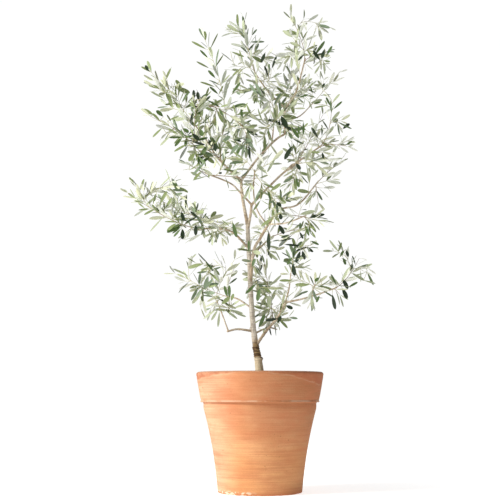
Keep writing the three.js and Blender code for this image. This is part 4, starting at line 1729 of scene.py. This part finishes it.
@dataclass
class Crown:
    """All masses of foliage, each a piece of leaves and a piece of twigs."""

    seat: float = 12.0
    first_share: float = 0.72
    later_share: float = 0.5
    lonely_growth: float = 1.22
    twig_gap: float = 26.0
    twig_turn: float = 137.5
    twig_reach: Span = (28.0, 64.0)
    twig_tones: tuple[Tone, ...] = (S, O, S, G, Y)
    leaf_finish: list[bpy.types.Material] = field(default_factory=lambda: LeafFinish().build())
    twig_finish: list[bpy.types.Material] = field(default_factory=lambda: TwigFinish().build())

    def build(self, routes: dict[str, Route]) -> None:
        """Grow, make and dress every mass, and the twigs of the boughs.

        Args:
            routes: the limbs' centrelines.
        """
        carriers = [route for name, route in routes.items() if name != "trunk"]
        tips = {limb.name: limb.tip for limb in LIMBS}
        total = 0
        for number, mass in enumerate(MASSES):
            grower = Grower(random.Random(SEED + 7 * number))
            carriers += self.grow(grower, mass, routes[mass.bough], tips[mass.bough])
            total += self.dress(grower, mass.name, [f"foliage_{mass.name}"])
        total += self.dress(self.dress_boughs(routes, carriers), "of_boughs")
        log.info("%d leaves in %d masses", total, len(MASSES))

    def dress(self, grower: Grower, name: str, nodes: Sequence[str] = ()) -> int:
        """Make the leaves and twigs that a grower has gathered.

        Args:
            grower: the grower.
            name: the end of the pieces' names.
            nodes: the solids that the leaves stand for.

        Returns:
            The number of leaves.
        """
        settle(grower.leaves.build(f"leaves_{name}", self.leaf_finish, 45), nodes)
        settle(grower.stems.build(f"twigs_{name}", self.twig_finish, 60))
        return grower.leaf_count

    def grow(self, grower: Grower, mass: Mass, route: Route, tip: float) -> list[Route]:
        """Grow the sprays of a mass, the longest first.

        Args:
            grower: what gathers them.
            mass: the mass.
            route: the centreline of its bough.
            tip: the bough's radius at its tip.

        Returns:
            The centrelines of the leaders.
        """
        sprays = mass.sprays()
        lonely = len(sprays) == 1
        if lonely:
            grower.leaf_length *= self.lonely_growth
            grower.missing = 0
        place = 1 - self.seat / route.length()
        end, heading = route.at(place), route.heading(place)
        leaders: list[Route] = []
        for plan in sorted(sprays, key=lambda plan: -(Vector(plan.tip) - end).length):
            start, ahead = grower.fork(leaders, end, heading, Vector(plan.tip))
            foot = tip * (self.first_share if start == end else self.later_share)
            leaders.append(grower.spray(start, ahead, plan, mass.bend, foot, lonely))
        return leaders

    def dress_boughs(self, routes: dict[str, Route], carriers: Sequence[Route]) -> Grower:
        """Grow short leafy twigs along the outer part of the boughs, and the leaves that stand out.

        Args:
            routes: the limbs' centrelines.
            carriers: the centrelines of the limbs and leaders.

        Returns:
            The grower that gathered them.
        """
        grower = Grower(random.Random(SEED - 1))
        azimuth = 0.0
        for limb in LIMBS:
            route = routes[limb.name]
            outer = 1 - limb.leafy
            count = round(route.length() * outer / self.twig_gap)
            for number in range(count):
                azimuth += math.radians(self.twig_turn)
                place = limb.leafy + outer * (number + grower.rng.uniform(0.1, 0.8)) / count
                length = grower.rng.uniform(*self.twig_reach)
                tone = self.twig_tones[number % len(self.twig_tones)]
                grower.side_shoot(route, place, azimuth, length, tone)
        for plan in ACCENTS:
            grower.accent(carriers, plan)
        return grower


# ------------------------------------------------------------------------------ stage


@dataclass
class Studio:
    """A white room with a broad key light from the left, and the camera."""

    camera_place: Point = (-31, -3200, 300)
    tilt: float = 8.15
    lens: float = 72.6
    sensor: float = 36.0
    fill: float = 0.3
    backdrop: float = 1.02
    key_power: float = 124.0
    key_place: Point = (-2900, -1350, 1900)
    key_aim: Point = (0, 0, 700)
    key_size: float = 1400.0
    key_colour: Colour = (1.0, 0.97, 0.92)
    floor_half: float = 30000.0
    floor_colour: Colour = (0.9, 0.9, 0.9)
    floor_reach: Span = (0.35, 0.85)
    floor_glow: tuple[Colour, Colour] = ((0.68, 0.68, 0.68), (0.77, 0.77, 0.77))

    def build(self) -> None:
        """Make the camera, the lights and the floor."""
        self.place_camera()
        self.light_world()
        self.add_key()
        self.lay_floor()
        bpy.context.scene.view_settings.view_transform = "Standard"

    def place_camera(self) -> None:
        """Stand the camera at the height of the pot's rim, tilted up a little."""
        data = bpy.data.cameras.new("camera")
        data.lens = self.lens
        data.sensor_width = self.sensor
        camera = bpy.data.objects.new("camera", data)
        camera.location = Vector(self.camera_place) * MM
        camera.rotation_euler = (math.radians(90 + self.tilt), 0, 0)
        bpy.context.scene.collection.objects.link(camera)
        bpy.context.scene.camera = camera

    def light_world(self) -> None:
        """Fill the room with soft white light, and show the camera plain white."""
        world = bpy.data.worlds.new("white_room")
        world.use_nodes = True
        world.node_tree.nodes.clear()
        sheet = Sheet(world.node_tree)
        seen = sheet.put("ShaderNodeLightPath").outputs["Is Camera Ray"]
        strength = sheet.maths("ADD", sheet.times(seen, self.backdrop - self.fill), self.fill)
        light = sheet.put("ShaderNodeBackground", {"Color": (1, 1, 1, 1), "Strength": strength})
        sheet.put("ShaderNodeOutputWorld", {0: light.outputs[0]})
        bpy.context.scene.world = world

    def add_key(self) -> None:
        """Hang the broad key light to the left."""
        data = bpy.data.lights.new("key", "AREA")
        data.shape = "DISK"
        data.size = self.key_size * MM
        data.energy = self.key_power
        data.color = self.key_colour
        key = bpy.data.objects.new("key", data)
        key.location = Vector(self.key_place) * MM
        aim = Vector(self.key_aim) * MM - key.location
        key.rotation_euler = aim.to_track_quat("-Z", "Y").to_euler()
        bpy.context.scene.collection.objects.link(key)

    def lay_floor(self) -> None:
        """Lay the white floor, a little brighter far from the pot so that it meets the backdrop."""
        maker = MeshMaker()
        square = ((-1, -1), (1, -1), (1, 1), (-1, 1))
        maker.add([Vector((x, y, 0)) * self.floor_half for x, y in square], [(0, 1, 2, 3)])
        material, sheet, shader = new_material("floor")
        reach = sheet.put("ShaderNodeVectorMath", {0: sheet.place()}, operation="LENGTH").outputs["Value"]
        sheet.wire(shader, {
            "Base Color": (*self.floor_colour, 1.0),
            "Roughness": 0.9,
            "Emission Color": sheet.blend(sheet.ramp(reach, self.floor_reach), *self.floor_glow),
            "Emission Strength": 1.0,
        })
        maker.build("floor", [material], 30)


def main() -> None:
    """Build the tree, its pot and the stage, in order."""
    logging.basicConfig(level=logging.INFO, format="%(name)s: %(message)s")
    Studio().build()
    Pot().build()
    Soil().build()
    Trunk().build(BarkFinish("trunk_bark").build())
    boughs = Boughs()
    pale, beige = srgb(216, 202, 180), srgb(182, 162, 136)
    boughs.build(BarkFinish("bough_bark", pale, beige, has_collar=False).build())
    Crown().build(boughs.routes())


if __name__ == "__main__":
    main()
